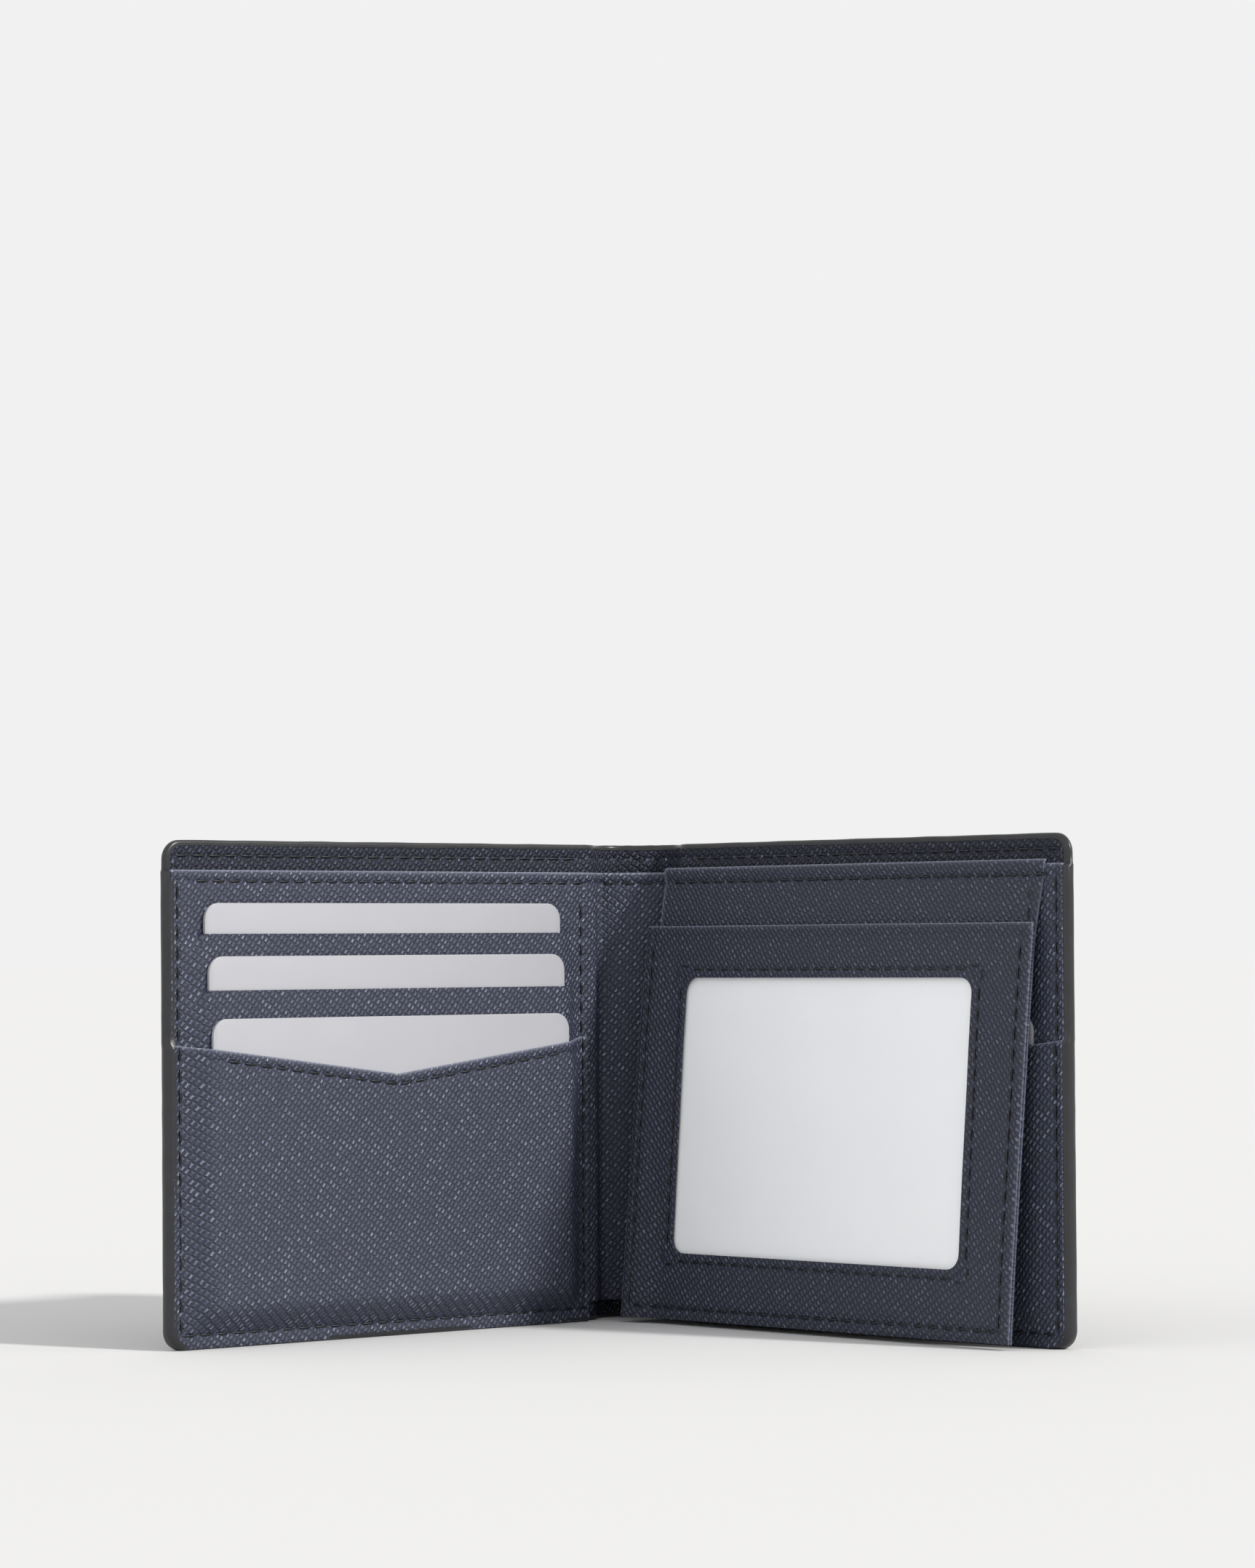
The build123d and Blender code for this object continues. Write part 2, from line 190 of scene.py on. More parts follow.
def shape(piece, rule):  # rule(spot, z of the faces round it) gives each point its new place
    body = bmesh.new()
    body.from_mesh(piece.data)
    moved = []
    for vertex in body.verts:
        heights = [face.calc_center_median().z for face in vertex.link_faces]
        moved.append((vertex, rule(vertex.co.copy(), sum(heights) / max(1, len(heights)))))
    for vertex, spot in moved:
        vertex.co = spot
    body.to_mesh(piece.data)
    body.free()


sideCut = {"left": 1, "right": -1}


def layGrain(piece, offset=0.0, cut=1, start=0):  # keeps flat places as a UV map; cut -1 turns the hide over
    layer = piece.data.uv_layers.get("grain") or piece.data.uv_layers.new(name="grain")
    for loop in piece.data.loops:
        spot = piece.data.vertices[loop.vertex_index].co
        layer.data[loop.index].uv = (cut * (spot.x - start) / grainUnit + offset, spot.z / grainUnit + offset)
    for other in [uv for uv in piece.data.uv_layers if uv.name != "grain"]:
        piece.data.uv_layers.remove(other)


def markRimHighlight(piece, gap, width=0.28):  # marks the folded rims, where a painted highlight lightens the colour
    layer = piece.data.attributes.new("rimHighlight", "FLOAT", "POINT")
    for vertex in piece.data.vertices:
        layer.data[vertex.index].value = hill(gap(vertex.co), width)


def applyModifier(piece, kind, **settings):
    activate(piece)
    modifier = piece.modifiers.new(kind.title(), kind)
    for key, value in settings.items():
        setattr(modifier, key, value)
    bpy.ops.object.modifier_apply(modifier=modifier.name)


def thicken(piece, thickness, rounding):  # leather's own thickness behind the face, edges eased
    applyModifier(piece, "SOLIDIFY", thickness=thickness, offset=-1, use_even_offset=True)
    roundEdges(piece, rounding)


def roundEdges(piece, rounding, segments=2, angle=50):
    applyModifier(piece, "BEVEL", width=rounding, segments=segments, limit_method="ANGLE",
                  angle_limit=math.radians(angle), use_clamp_overlap=True)


def carry(piece, matrix, eased=40):  # from flat millimetres to its place in metres
    whole = Matrix.Scale(mm, 4) @ matrix
    piece.data.transform(whole)
    if whole.determinant() < 0:
        piece.data.flip_normals()
    activate(piece)
    bpy.ops.object.shade_smooth_by_angle(angle=math.radians(eased))


def finishPiece(piece, material, slot, body=None, replaces=()):
    piece.data.materials.clear()
    piece.data.materials.append(material)
    if body:
        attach(piece, body)
    if replaces:
        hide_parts(*replaces)


# materials

def colour(hexValue):  # sRGB hex to linear
    parts = [int(hexValue[i:i + 2], 16) / 255 for i in (1, 3, 5)]
    return [p / 12.92 if p <= 0.04045 else ((p + 0.055) / 1.055) ** 2.4 for p in parts] + [1]


def addNode(tree, kind, links=None, **settings):  # an input takes a constant, a socket or a node's first output
    node = tree.nodes.new("ShaderNode" + kind)
    for key, value in settings.items():
        setattr(node, key, value)
    for key, value in (links or {}).items():
        if isinstance(value, bpy.types.Node):
            value = value.outputs[0]
        if isinstance(value, bpy.types.NodeSocket):
            tree.links.new(value, node.inputs[key])
        else:
            node.inputs[key].default_value = value
    return node


def newMaterial(name):
    material = bpy.data.materials.new(name)
    material.use_nodes = True
    material.node_tree.nodes.clear()
    return material, material.node_tree


def ownPlace(tree):
    return addNode(tree, "TexCoord").outputs["Object"]


def calculate(tree, operation, *values):
    return addNode(tree, "Math", dict(enumerate(values)), operation=operation)


def cloud(tree, place, scale, detail, roughness=0.5):
    return addNode(tree, "TexNoise", {"Vector": place, "Scale": scale, "Detail": detail, "Roughness": roughness})


def mixColours(tree, share, *pair):  # the pair are hex values or sockets
    first, second = [colour(value) if isinstance(value, str) else value for value in pair]
    mix = addNode(tree, "Mix", {"Factor": share, "A": first, "B": second}, data_type="RGBA")
    return mix.outputs["Result"]


def relief(tree, height, strength, depth):  # depth in millimetres
    return addNode(tree, "Bump", {"Height": height, "Strength": strength, "Distance": depth * mm})


def surface(tree, tint, roughness, normal, others):
    shader = addNode(tree, "BsdfPrincipled", {"Base Color": tint, "Roughness": roughness, "Normal": normal, **others})
    addNode(tree, "OutputMaterial", {"Surface": shader})


# Cross-grain leather: split hide coated with resin and pressed with a hatched roller. The press leaves
# short diagonal pebbles. Their colour holds painted shade in the valleys, painted light on the tops and a
# painted glint on a few pebbles, which are also glossier and catch the key light for real.
grainLook = {
    "pebbleLength": 1.3, "rowPitch": 0.92, "stagger": 0.1, "valley": 0.4, "wander": 0.5, "wanderSize": 3.1,
    "turn": 54, "relief": 0.24, "leastHeight": 0.6, "heightSpread": 0.55, "creaseScale": 2.6, "creases": 0.8,
    # the valley colour is painted shade, the top colour painted light and the bright colour a painted glint
    "shadedValleyColour": "#1f2333", "litTopColour": "#383d53", "paintedGlintColour": "#7a7f95", "glintPebbleShare": 0.6,
    # the rubbed colour and its share paint a highlight on the folded rims
    "ridgeSharpness": 2.5, "rimHighlightColour": "#8b90a3", "rimHighlight": 0.6, "roughness": (0.4, 0.62), "glint": 0.17, "specular": 0.6,
}
# the lining: the same leather in a darker copy, painted shade for the lining recessed above the hems, with a dimmer
# painted glint
shadedLiningLook = {**grainLook, "shadedValleyColour": "#0c0f1a", "litTopColour": "#20253b", "paintedGlintColour": "#4d5268",
              "specular": 0.42}
# the flap: the same leather in a darker copy, painted shade for the flap that faces away from the key light, with a
# dimmer painted glint
shadedFlapLeatherLook = {**grainLook, "shadedValleyColour": "#1b1f2d", "litTopColour": "#30354b", "paintedGlintColour": "#5c6178"}


def crossGrainLeather(name, look):
    material, tree = newMaterial(name)
    uv = addNode(tree, "UVMap", uv_map="grain")
    wander = cloud(tree, uv, grainUnit / look["wanderSize"], 2.0)
    centred = addNode(tree, "VectorMath", {0: wander.outputs["Color"], 1: (0.5, 0.5, 0.5)}, operation="SUBTRACT")
    shifted = addNode(tree, "VectorMath", {0: centred, 1: [look["wander"] / grainUnit] * 3, 2: uv},
                      operation="MULTIPLY_ADD")
    turned = addNode(tree, "Mapping", {"Vector": shifted, "Rotation": (0, 0, math.radians(look["turn"])),
                                       "Scale": [grainUnit] * 3})
    unit = 0.5 / look["pebbleLength"]  # the brick pattern's half unit is one pebble
    pebbles = addNode(tree, "TexBrick",
                      {"Vector": turned, "Color1": (0, 0, 0, 1), "Color2": (1, 1, 1, 1),
                       "Mortar": (0.5, 0.5, 0.5, 1), "Scale": unit, "Mortar Size": look["valley"] * unit,
                       "Mortar Smooth": 1.0, "Bias": 0.0, "Brick Width": 0.5,
                       "Row Height": look["rowPitch"] * unit}, offset=look["stagger"], offset_frequency=2)
    dome = calculate(tree, "SUBTRACT", 1.0, pebbles.outputs["Fac"])
    random = addNode(tree, "SeparateColor", {"Color": pebbles})
    creases = cloud(tree, turned, look["creaseScale"], 3.0, 0.6)
    uneven = calculate(tree, "MULTIPLY_ADD", random, look["heightSpread"], look["leastHeight"])
    raised = calculate(tree, "MULTIPLY", dome, uneven)
    height = calculate(tree, "MULTIPLY_ADD", creases, look["creases"], raised)
    glintPebbleShare = addNode(tree, "MapRange", {"Value": random, "From Min": look["glintPebbleShare"]})
    ridge = calculate(tree, "POWER", dome, look["ridgeSharpness"])
    glintPebbles = calculate(tree, "MULTIPLY", glintPebbleShare, ridge)
    # painted shade in the valleys and painted light on the pebble tops, then a painted glint on the picked pebbles,
    # which are also glossier
    shadedAndLitTops = mixColours(tree, dome, look["shadedValleyColour"], look["litTopColour"])
    paintedLightTint = mixColours(tree, glintPebbles, shadedAndLitTops, look["paintedGlintColour"])
    # painted highlight: the colour is lightened along the marked rims
    lighterTone = addNode(tree, "Attribute", attribute_name="rimHighlight")
    rimHighlightShare = calculate(tree, "MULTIPLY", lighterTone.outputs["Fac"], look["rimHighlight"])
    tint = mixColours(tree, rimHighlightShare, paintedLightTint, look["rimHighlightColour"])
    smoother, rougher = look["roughness"]
    rough = addNode(tree, "MapRange", {"Value": raised, "To Min": rougher, "To Max": smoother})
    glossy = addNode(tree, "Mix", {"Factor": glintPebbles, "A": rough, "B": look["glint"]}, data_type="FLOAT")
    surface(tree, tint, glossy.outputs["Result"], relief(tree, height, 1.0, look["relief"]),
            {"Specular IOR Level": look["specular"]})
    return material


# Painted edge: acrylic edge paint laid on in coats and ironed. A satin, slightly wavy black-grey bead.
paintLook = {"colour": "#191a1c", "lighterTone": "#27282b", "roughness": 0.34, "ior": 1.48, "waveSize": 3.0, "wave": 0.12}


def edgePaint(name, look):
    material, tree = newMaterial(name)
    waves = cloud(tree, ownPlace(tree), 1 / (look["waveSize"] * mm), 2.0)
    surface(tree, mixColours(tree, waves, look["colour"], look["lighterTone"]), look["roughness"],
            relief(tree, waves, 0.8, look["wave"]), {"IOR": look["ior"]})
    return material


# Sewing thread: bonded polyester, three plies twisted. Dark with a faint rope-like twist.
threadLook = {"colour": "#08090d", "plyColour": "#15171f", "plyPitch": 0.55, "plyDepth": 0.05, "roughness": 0.5}


def twistedThread(name, look):
    material, tree = newMaterial(name)
    uv = addNode(tree, "UVMap", uv_map="grain")
    turned = addNode(tree, "Mapping", {"Vector": uv, "Scale": [grainUnit] * 3})
    bands = 0.31  # the wave pattern's scale for one band in each unit
    plies = addNode(tree, "TexWave", {"Vector": turned, "Scale": bands / look["plyPitch"], "Distortion": 0.4,
                                      "Detail": 1.0}, wave_type="BANDS", bands_direction="DIAGONAL").outputs["Fac"]
    surface(tree, mixColours(tree, plies, look["colour"], look["plyColour"]), look["roughness"],
            relief(tree, plies, 0.9, look["plyDepth"]), {})
    return material


# Card: white PVC, laminated between polished plates. Satin and flat, with the faintest mottle.
cardLook = {"colour": "#a3a3a8", "shade": "#9e9ea4", "roughness": 0.4, "mottle": 9.0}
# Insert: coated white board, cut square. Brighter and more matt than the cards.
insertLook = {"colour": "#fcfcfd", "shade": "#f8f8fa", "roughness": 0.55, "mottle": 14.0}
# Stiffener: grey-brown fibre board, pressed. Hidden but for its edge.
boardLook = {"colour": "#6d6353", "shade": "#80765f", "roughness": 0.85, "mottle": 2.0}
fibreLook = {"size": 0.4, "strength": 0.3, "depth": 0.01}


def plainSheet(name, look):
    material, tree = newMaterial(name)
    place = ownPlace(tree)
    mottle = cloud(tree, place, 1 / (look["mottle"] * mm), 3.0)
    fibre = cloud(tree, place, 1 / (fibreLook["size"] * mm), 2.0)
    surface(tree, mixColours(tree, mottle, look["colour"], look["shade"]), look["roughness"],
            relief(tree, fibre, fibreLook["strength"], fibreLook["depth"]), {})
    return material


# Window film: clear soft PVC, calendered. Almost invisible, with a soft sheen where it waves.
filmLook = {"colour": "#f4f6f8", "roughness": 0.16, "alpha": 0.14, "waveSize": 16, "wave": 0.6}


def clearFilm(name, look):
    material, tree = newMaterial(name)
    waves = cloud(tree, ownPlace(tree), 1 / (look["waveSize"] * mm), 1.0)
    surface(tree, colour(look["colour"]), look["roughness"], relief(tree, waves, 0.5, look["wave"]),
            {"Alpha": look["alpha"]})
    return material


# Pocket lining: plain-woven polyester taffeta, dyed dark. A fine over-and-under weave.
weaveLook = {"colour": "#171923", "raised": "#2a2d3b", "threadSpacing": 0.5, "depth": 0.05, "roughness": 0.7,
             "sheen": 0.2}


def wovenLining(name, look):
    material, tree = newMaterial(name)
    weave = addNode(tree, "TexChecker", {"Vector": ownPlace(tree), "Scale": 1 / (look["threadSpacing"] * mm)})
    over = weave.outputs["Fac"]
    surface(tree, mixColours(tree, over, look["colour"], look["raised"]), look["roughness"],
            relief(tree, over, 0.5, look["depth"]), {"Sheen Weight": look["sheen"]})
    return material


leather = crossGrainLeather("cross_grain_leather", grainLook)
# lining and flap leathers are the same leather with painted shade
shadedLiningLeather = crossGrainLeather("cross_grain_lining_leather_shaded", shadedLiningLook)
shadedFlapLeather = crossGrainLeather("cross_grain_flap_leather_shaded", shadedFlapLeatherLook)
paint = edgePaint("edge_paint_bead", paintLook)
thread = twistedThread("bonded_thread", threadLook)
cardStock = plainSheet("card_pvc", cardLook)
insertBoard = plainSheet("insert_board", insertLook)
film = clearFilm("window_pvc_film", filmLook)
taffeta = wovenLining("pocket_taffeta", weaveLook)
fibreBoard = plainSheet("fibre_board", boardLook)
print("materials made")


# the route of the cover round the spine

def bendRoute(corners, radii):  # straight runs joined by arcs, as (kind, length, data)
    runs = []
    at = Vector(corners[0])
    for i in range(1, len(corners)):
        towards = (Vector(corners[i]) - Vector(corners[i - 1])).normalized()
        if i == len(corners) - 1:
            runs.append(("line", (Vector(corners[i]) - at).length, at, towards, 0))
            break
        after = (Vector(corners[i + 1]) - Vector(corners[i])).normalized()
        turn = math.atan2(towards.x * after.y - towards.y * after.x, towards.dot(after))
        back = radii[i - 1] * math.tan(abs(turn) / 2)
        stop = Vector(corners[i]) - towards * back
        runs.append(("line", (stop - at).length, at, towards, 0))
        runs.append(("arc", radii[i - 1] * abs(turn), stop, towards, math.copysign(1 / radii[i - 1], turn)))
        at = Vector(corners[i]) + after * back
    return runs


def onRoute(runs, s, inset):  # the point at this length along, and this far to the right-hand side
    for kind, length, start, towards, curl in runs:
        if s <= length or runs[-1][2] is start:
            break
        s -= length
    if kind == "line":
        spot, heading = start + towards * s, towards
    else:
        angle = math.atan2(towards.y, towards.x)
        newAngle = angle + curl * s
        spot = start + Vector((math.sin(newAngle) - math.sin(angle), math.cos(angle) - math.cos(newAngle))) / curl
        heading = Vector((math.cos(newAngle), math.sin(newAngle)))
    return spot + inset * Vector((heading.y, -heading.x))


spineLow, spineHigh = span("spine_cover")
coverLow, coverHigh = span("right_cover", rightLeaf)
liningLow, liningHigh = span("right_lining", rightLeaf)
paintHigh = span("right_edge_paint", rightLeaf)[1]
outerY = coverHigh.y  # the cover's outside face
liningFace = liningLow.y
wall = outerY - liningFace
leafTop, leafEnd = paintHigh.z, paintHigh.x

spineShape = {"cornerRadius": 7.5, "cell": 0.6, "rows": 31}
leafFront = Vector((rightLeaf.col[1].x, rightLeaf.col[1].y)) * -1  # towards the viewer
leafWay = Vector((rightLeaf.col[0].x, rightLeaf.col[0].y))
foldSpot = Vector((foldAt.x, foldAt.y))


def leafLine(y, u):
    return foldSpot - leafFront * y + leafWay * u


def meetSide(y, x):  # u where the leaf's level y crosses the spine's side wall at x
    return (x - leafLine(y, 0).x) / leafWay.x


coverMeet = meetSide(outerY, spineHigh.x)
coverCorner = leafLine(outerY, coverMeet)
foldSetback = spineLow.y - coverCorner.y
foldRadius = foldSetback / math.tan((math.pi / 2 - openAngle) / 2)
skinRoute = bendRoute(
    [(0, spineHigh.y), (spineHigh.x, spineHigh.y), coverCorner, leafLine(outerY, leafEnd + 5)],
    [spineShape["cornerRadius"], foldRadius],
)
skinStart = coverMeet + foldSetback - sum(run[1] for run in skinRoute[:-1])  # u of the middle of the spine


def roundSpine(piece, side):  # carries flat leaf coordinates round the fold and the spine
    def rule(spot, _):
        flat = onRoute(skinRoute, spot.x - skinStart, outerY - spot.y)
        return Vector((flat.x, flat.y, spot.z))
    shape(piece, rule)
    carry(piece, halfMatrix[side])


def bendAtFold(piece):
    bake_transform(piece)


# skins: cover and lining, each in two halves that meet at the middle of the spine

skinLook = {"cell": 1.3, "rimRounding": 0.08, "corner": 3.25, "grooveDepth": 0.26, "grooveWidth": 0.4,
            "clearance": 0.025}
rimLook = {"roll": 0.3, "width": 0.35, "rows": (0.12, 0.25, 0.4, 0.6)}
seamLines = {"edge": 1.8, "top": 2.8, "bottom": 2.75, "hem": 2.1, "inner": 1.0, "chevron": 2.0, "pitch": 3.65}


def groove(distance):  # a seam's dip at this distance from its line
    return skinLook["grooveDepth"] * hill(distance, skinLook["grooveWidth"])


def seamRows(*places):  # edge lines on each seam and on both sides of it
    width = skinLook["grooveWidth"]
    return [place + step for place in places for step in (-width, 0, width)]


def turnedRim(gap):  # the leather rolls back over its folded edge
    return rimLook["roll"] * hill(gap, rimLook["width"])


def sewn(distance, along):  # a stitched seam's dip; the leather lifts between stitches
    return groove(distance) * (1 + 0.35 * math.cos(2 * math.pi * along / seamLines["pitch"]))


def ease(spot, end, top, low, radius):  # rounds a sheet's two free corners
    for middleZ, sign in ((top - radius, 1), (low + radius, -1)):
        away = Vector((spot.x - (end - radius), spot.z - middleZ))
        if away.x > 0 and away.y * sign > 0 and away.length > radius:
            away = away.normalized() * radius
            return Vector((end - radius + away.x, spot.y, middleZ + away.y))
    return spot


def skin(side, kind):
    front = outerY if kind == "cover" else liningFace
    thick = coverHigh.y - coverLow.y if kind == "cover" else liningHigh.y - liningLow.y
    top, low, end = coverHigh.z, coverLow.z, coverHigh.x
    seamTop = leafTop - seamLines["top"]
    seamLow = seamLines["bottom"]
    seamEnd = leafEnd - seamLines["edge"]
    piece = layOut(f"{side}_{kind}_leather", skinStart, end, low, top, skinLook["cell"])
    score(piece, 2, seamRows(seamTop, seamLow))
    score(piece, 0, seamRows(seamEnd))
    score(piece, 0, [skinStart + 0.5 + spineShape["cell"] * i for i in range(spineShape["rows"])])
    layGrain(piece, 0.31 if kind == "cover" else 0.0, sideCut[side], skinStart)
    outward = 1 if kind == "cover" else -1

    def rule(spot, _):
        dip = 0
        if seamLow - 1 < spot.z < seamTop + 1:
            dip = max(dip, sewn(spot.x - seamEnd, spot.z))
        if spot.x < seamEnd + 1:
            dip = max(dip, sewn(spot.z - seamTop, spot.x), sewn(spot.z - seamLow, spot.x))
        swell = 0.05 * noise.noise(Vector((spot.x, spot.z, 3 if kind == "cover" else 9)) * 0.06)
        spot.y = front - outward * (dip + swell * 0.5 + skinLook["clearance"])
        return ease(spot, end, top, low, skinLook["corner"])
    shape(piece, rule)
    if kind == "cover":
        piece.data.flip_normals()
    thicken(piece, thick - 0.06, skinLook["rimRounding"])
    roundSpine(piece, side)
    if kind == "cover":
        finishPiece(piece, leather, "cover_leather")
    else:
        finishPiece(piece, shadedLiningLeather, "inner_leather")
    bendAtFold(piece)
    return piece


for side in ("left", "right"):
    cover = skin(side, "cover")
    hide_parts(f"{side}_cover")
    lining = skin(side, "lining")
    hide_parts(f"{side}_lining")
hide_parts("spine_cover")
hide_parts("spine_lining")
print("cover and lining made")


# painted edge beads

beadLook = {
    "corner": 3.5, "cornerSegments": 8, "lap": 0.5, "rounding": 0.42, "segments": 3, "crown": 0.22,
    "sideCrown": 0.85, "wobble": 0.07, "skinLift": 0.05, "hemEase": 0.7, "step": 3.0,
    "chevronLeather": 0.5,  # the chevron pocket's margin adds its own leather on the edge
}


def bead(side):
    hem = span(f"{side}_card_panel", leafMatrix[side])[1].z
    chevron = span(f"{side}_chevron_pocket", leafMatrix[side])
    panelStart, chevronTop = chevron[0].x, chevron[1].z
    panelFace = span(f"{side}_edge_paint", leafMatrix[side])[0].y
    corner, rounding, step = beadLook["corner"], beadLook["rounding"], beadLook["step"]
    backY, frontY = outerY + beadLook["skinLift"], liningFace - beadLook["skinLift"]
    piece = block(f"{side}_edge_bead", (skinStart, frontY, 0), (leafEnd, backY, leafTop))
    pickEdges(piece, lambda a, b: abs(a.y - b.y) > near and min(a.x, b.x) > leafEnd - near)
    bpy.ops.mesh.bevel(offset=corner, segments=beadLook["cornerSegments"], affect="EDGES", clamp_overlap=True)
    endPick()
    pickFaces(piece, lambda c, n: c.x < skinStart + near)
    bpy.ops.mesh.delete(type="FACE")
    endPick()
    pickFaces(piece, lambda c, n: abs(n.y) > 0.9)
    bpy.ops.mesh.inset(thickness=beadLook["lap"] + rounding, use_boundary=False)
    bpy.ops.mesh.delete(type="FACE")
    endPick()

    def outline(a, b):  # the block's own outline on both faces, but not the inset line
        for spot in (a, b):
            gap = min(leafEnd - spot.x, spot.z, leafTop - spot.z)
            lower = spot.z < leafTop / 2
            away = Vector((spot.x - leafEnd + corner, spot.z - (corner if lower else leafTop - corner)))
            if away.x > -near and (away.y < near if lower else away.y > -near):
                gap = corner - away.length
            if gap > 0.1:
                return False
        onFace = abs(a.y - b.y) < near and (abs(a.y - frontY) < near or abs(a.y - backY) < near)
        return onFace and (a - b).length > 0.05

    pickEdges(piece, outline)
    bpy.ops.mesh.bevel(offset=rounding, segments=beadLook["segments"], affect="EDGES", clamp_overlap=True)
    endPick()
    score(piece, 1, [frontY + (backY - frontY) * share for share in (0.35, 0.5, 0.65)])
    ease0, ease1 = hem - beadLook["hemEase"], hem + 0.1
    chevron0, chevron1 = chevronTop - 0.3, chevronTop + 0.3
    panel0, panel1 = panelStart - 0.3, panelStart + 0.3
    score(piece, 2, [5 + step * i for i in range(29)] + [ease0, ease1, chevron0, chevron1])
    score(piece, 0, [skinStart + 0.4 + spineShape["cell"] * i for i in range(32)])
    score(piece, 0, [panel0, panel1] + [6 + step * i for i in range(31)])
    layGrain(piece)

    def rule(spot, _):
        share = (backY - spot.y) / (backY - frontY)  # 0 at the outside face, 1 at the lining
        reach = 0.0
        if spot.x > 0:
            reach = (frontY - panelFace) * (1 - smooth(spot.z, ease0, ease1))
            reach += beadLook["chevronLeather"] * (1 - smooth(spot.z, chevron0, chevron1))
            if spot.z < 5:
                reach *= smooth(spot.x, panel0, panel1)
        gap = min(leafEnd - spot.x, spot.z, leafTop - spot.z)
        away = Vector((spot.x - leafEnd + corner, 0, spot.z - min(max(spot.z, corner), leafTop - corner)))
        onCorner = away.x > near and abs(away.z) > near
        onSide = gap == leafEnd - spot.x
        onFoot = gap == spot.z
        if onCorner:
            gap = corner - away.length
            away.normalize()
        onLap = gap > 0.3 + rounding
        wave = noise.noise(Vector((spot.x, spot.z, 5)) * 0.35) + 0.6 * noise.noise(Vector((spot.x, spot.z, 8)) * 1.1)
        spot.y -= reach * smooth(share, 0.05, 0.95)
        arch = (0.5 + 0.5 * min(1, reach)) * math.sin(math.pi * min(1, max(0, share)))
        push = beadLook["wobble"] * wave
        push = 2 * push if onLap else push + arch * beadLook["sideCrown" if onSide and not onCorner else "crown"]
        if onCorner:  # the side's fuller crown runs out round the corner
            if not onLap:
                push += (beadLook["sideCrown"] - beadLook["crown"]) * away.x ** 2 * arch
            spot += away * push
            spot.z = max(0, spot.z)
        elif onSide:
            spot.x += push
        elif onFoot:
            spot.z = spot.z - push if onLap else max(0, spot.z - push)
        else:
            spot.z += push
        return spot
    shape(piece, rule)
    roundSpine(piece, side)
    finishPiece(piece, paint, "edge_paint")
    bendAtFold(piece)
    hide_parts(f"{side}_edge_paint")
    return piece


for side in ("left", "right"):
    lastBead = bead(side)
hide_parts("spine_edge_paint")
print("edge beads made")


# card panels with their slits

slitLook = {"free": 0.9, "spine": 3.5, "easeIn": 0.6, "easeOut": 1.6, "drop": 4.0, "lip": 0.01}
panelLook = {"cell": 1.1, "leather": 0.45, "flange": 2.3, "ramp": 4.9, "pinch": (2.4, 7.3), "corner": 3.25,
             "rounding": 0.14, "clearance": 0.05, "hemPuff": 0.15, "swell": 0.04}
above = 10  # an ease this far above the sheet leaves its top corner square


def slopeUp(value, low, high):  # like smooth, but less steep in the middle
    share = min(1, max(0, (value - low) / (high - low)))
    return 0.7 * share + 0.3 * smooth(value, low, high)


def overCards(spot, low, high):  # 0 on the sewn margins and in the bottom seam, 1 over the cards
    flange, ramp = panelLook["flange"], panelLook["ramp"]
    held, loose = panelLook["pinch"]
    across = slopeUp(spot.x, low.x + flange, low.x + flange + ramp)
    across *= 1 - slopeUp(spot.x, high.x - flange - ramp, high.x - flange)
    return across * slopeUp(spot.z, low.z + held, low.z + loose)


def hemPuff(gap, middle=1.0, width=0.8):  # the folded hem stands a little proud
    return panelLook["hemPuff"] * hill(gap - middle, width)


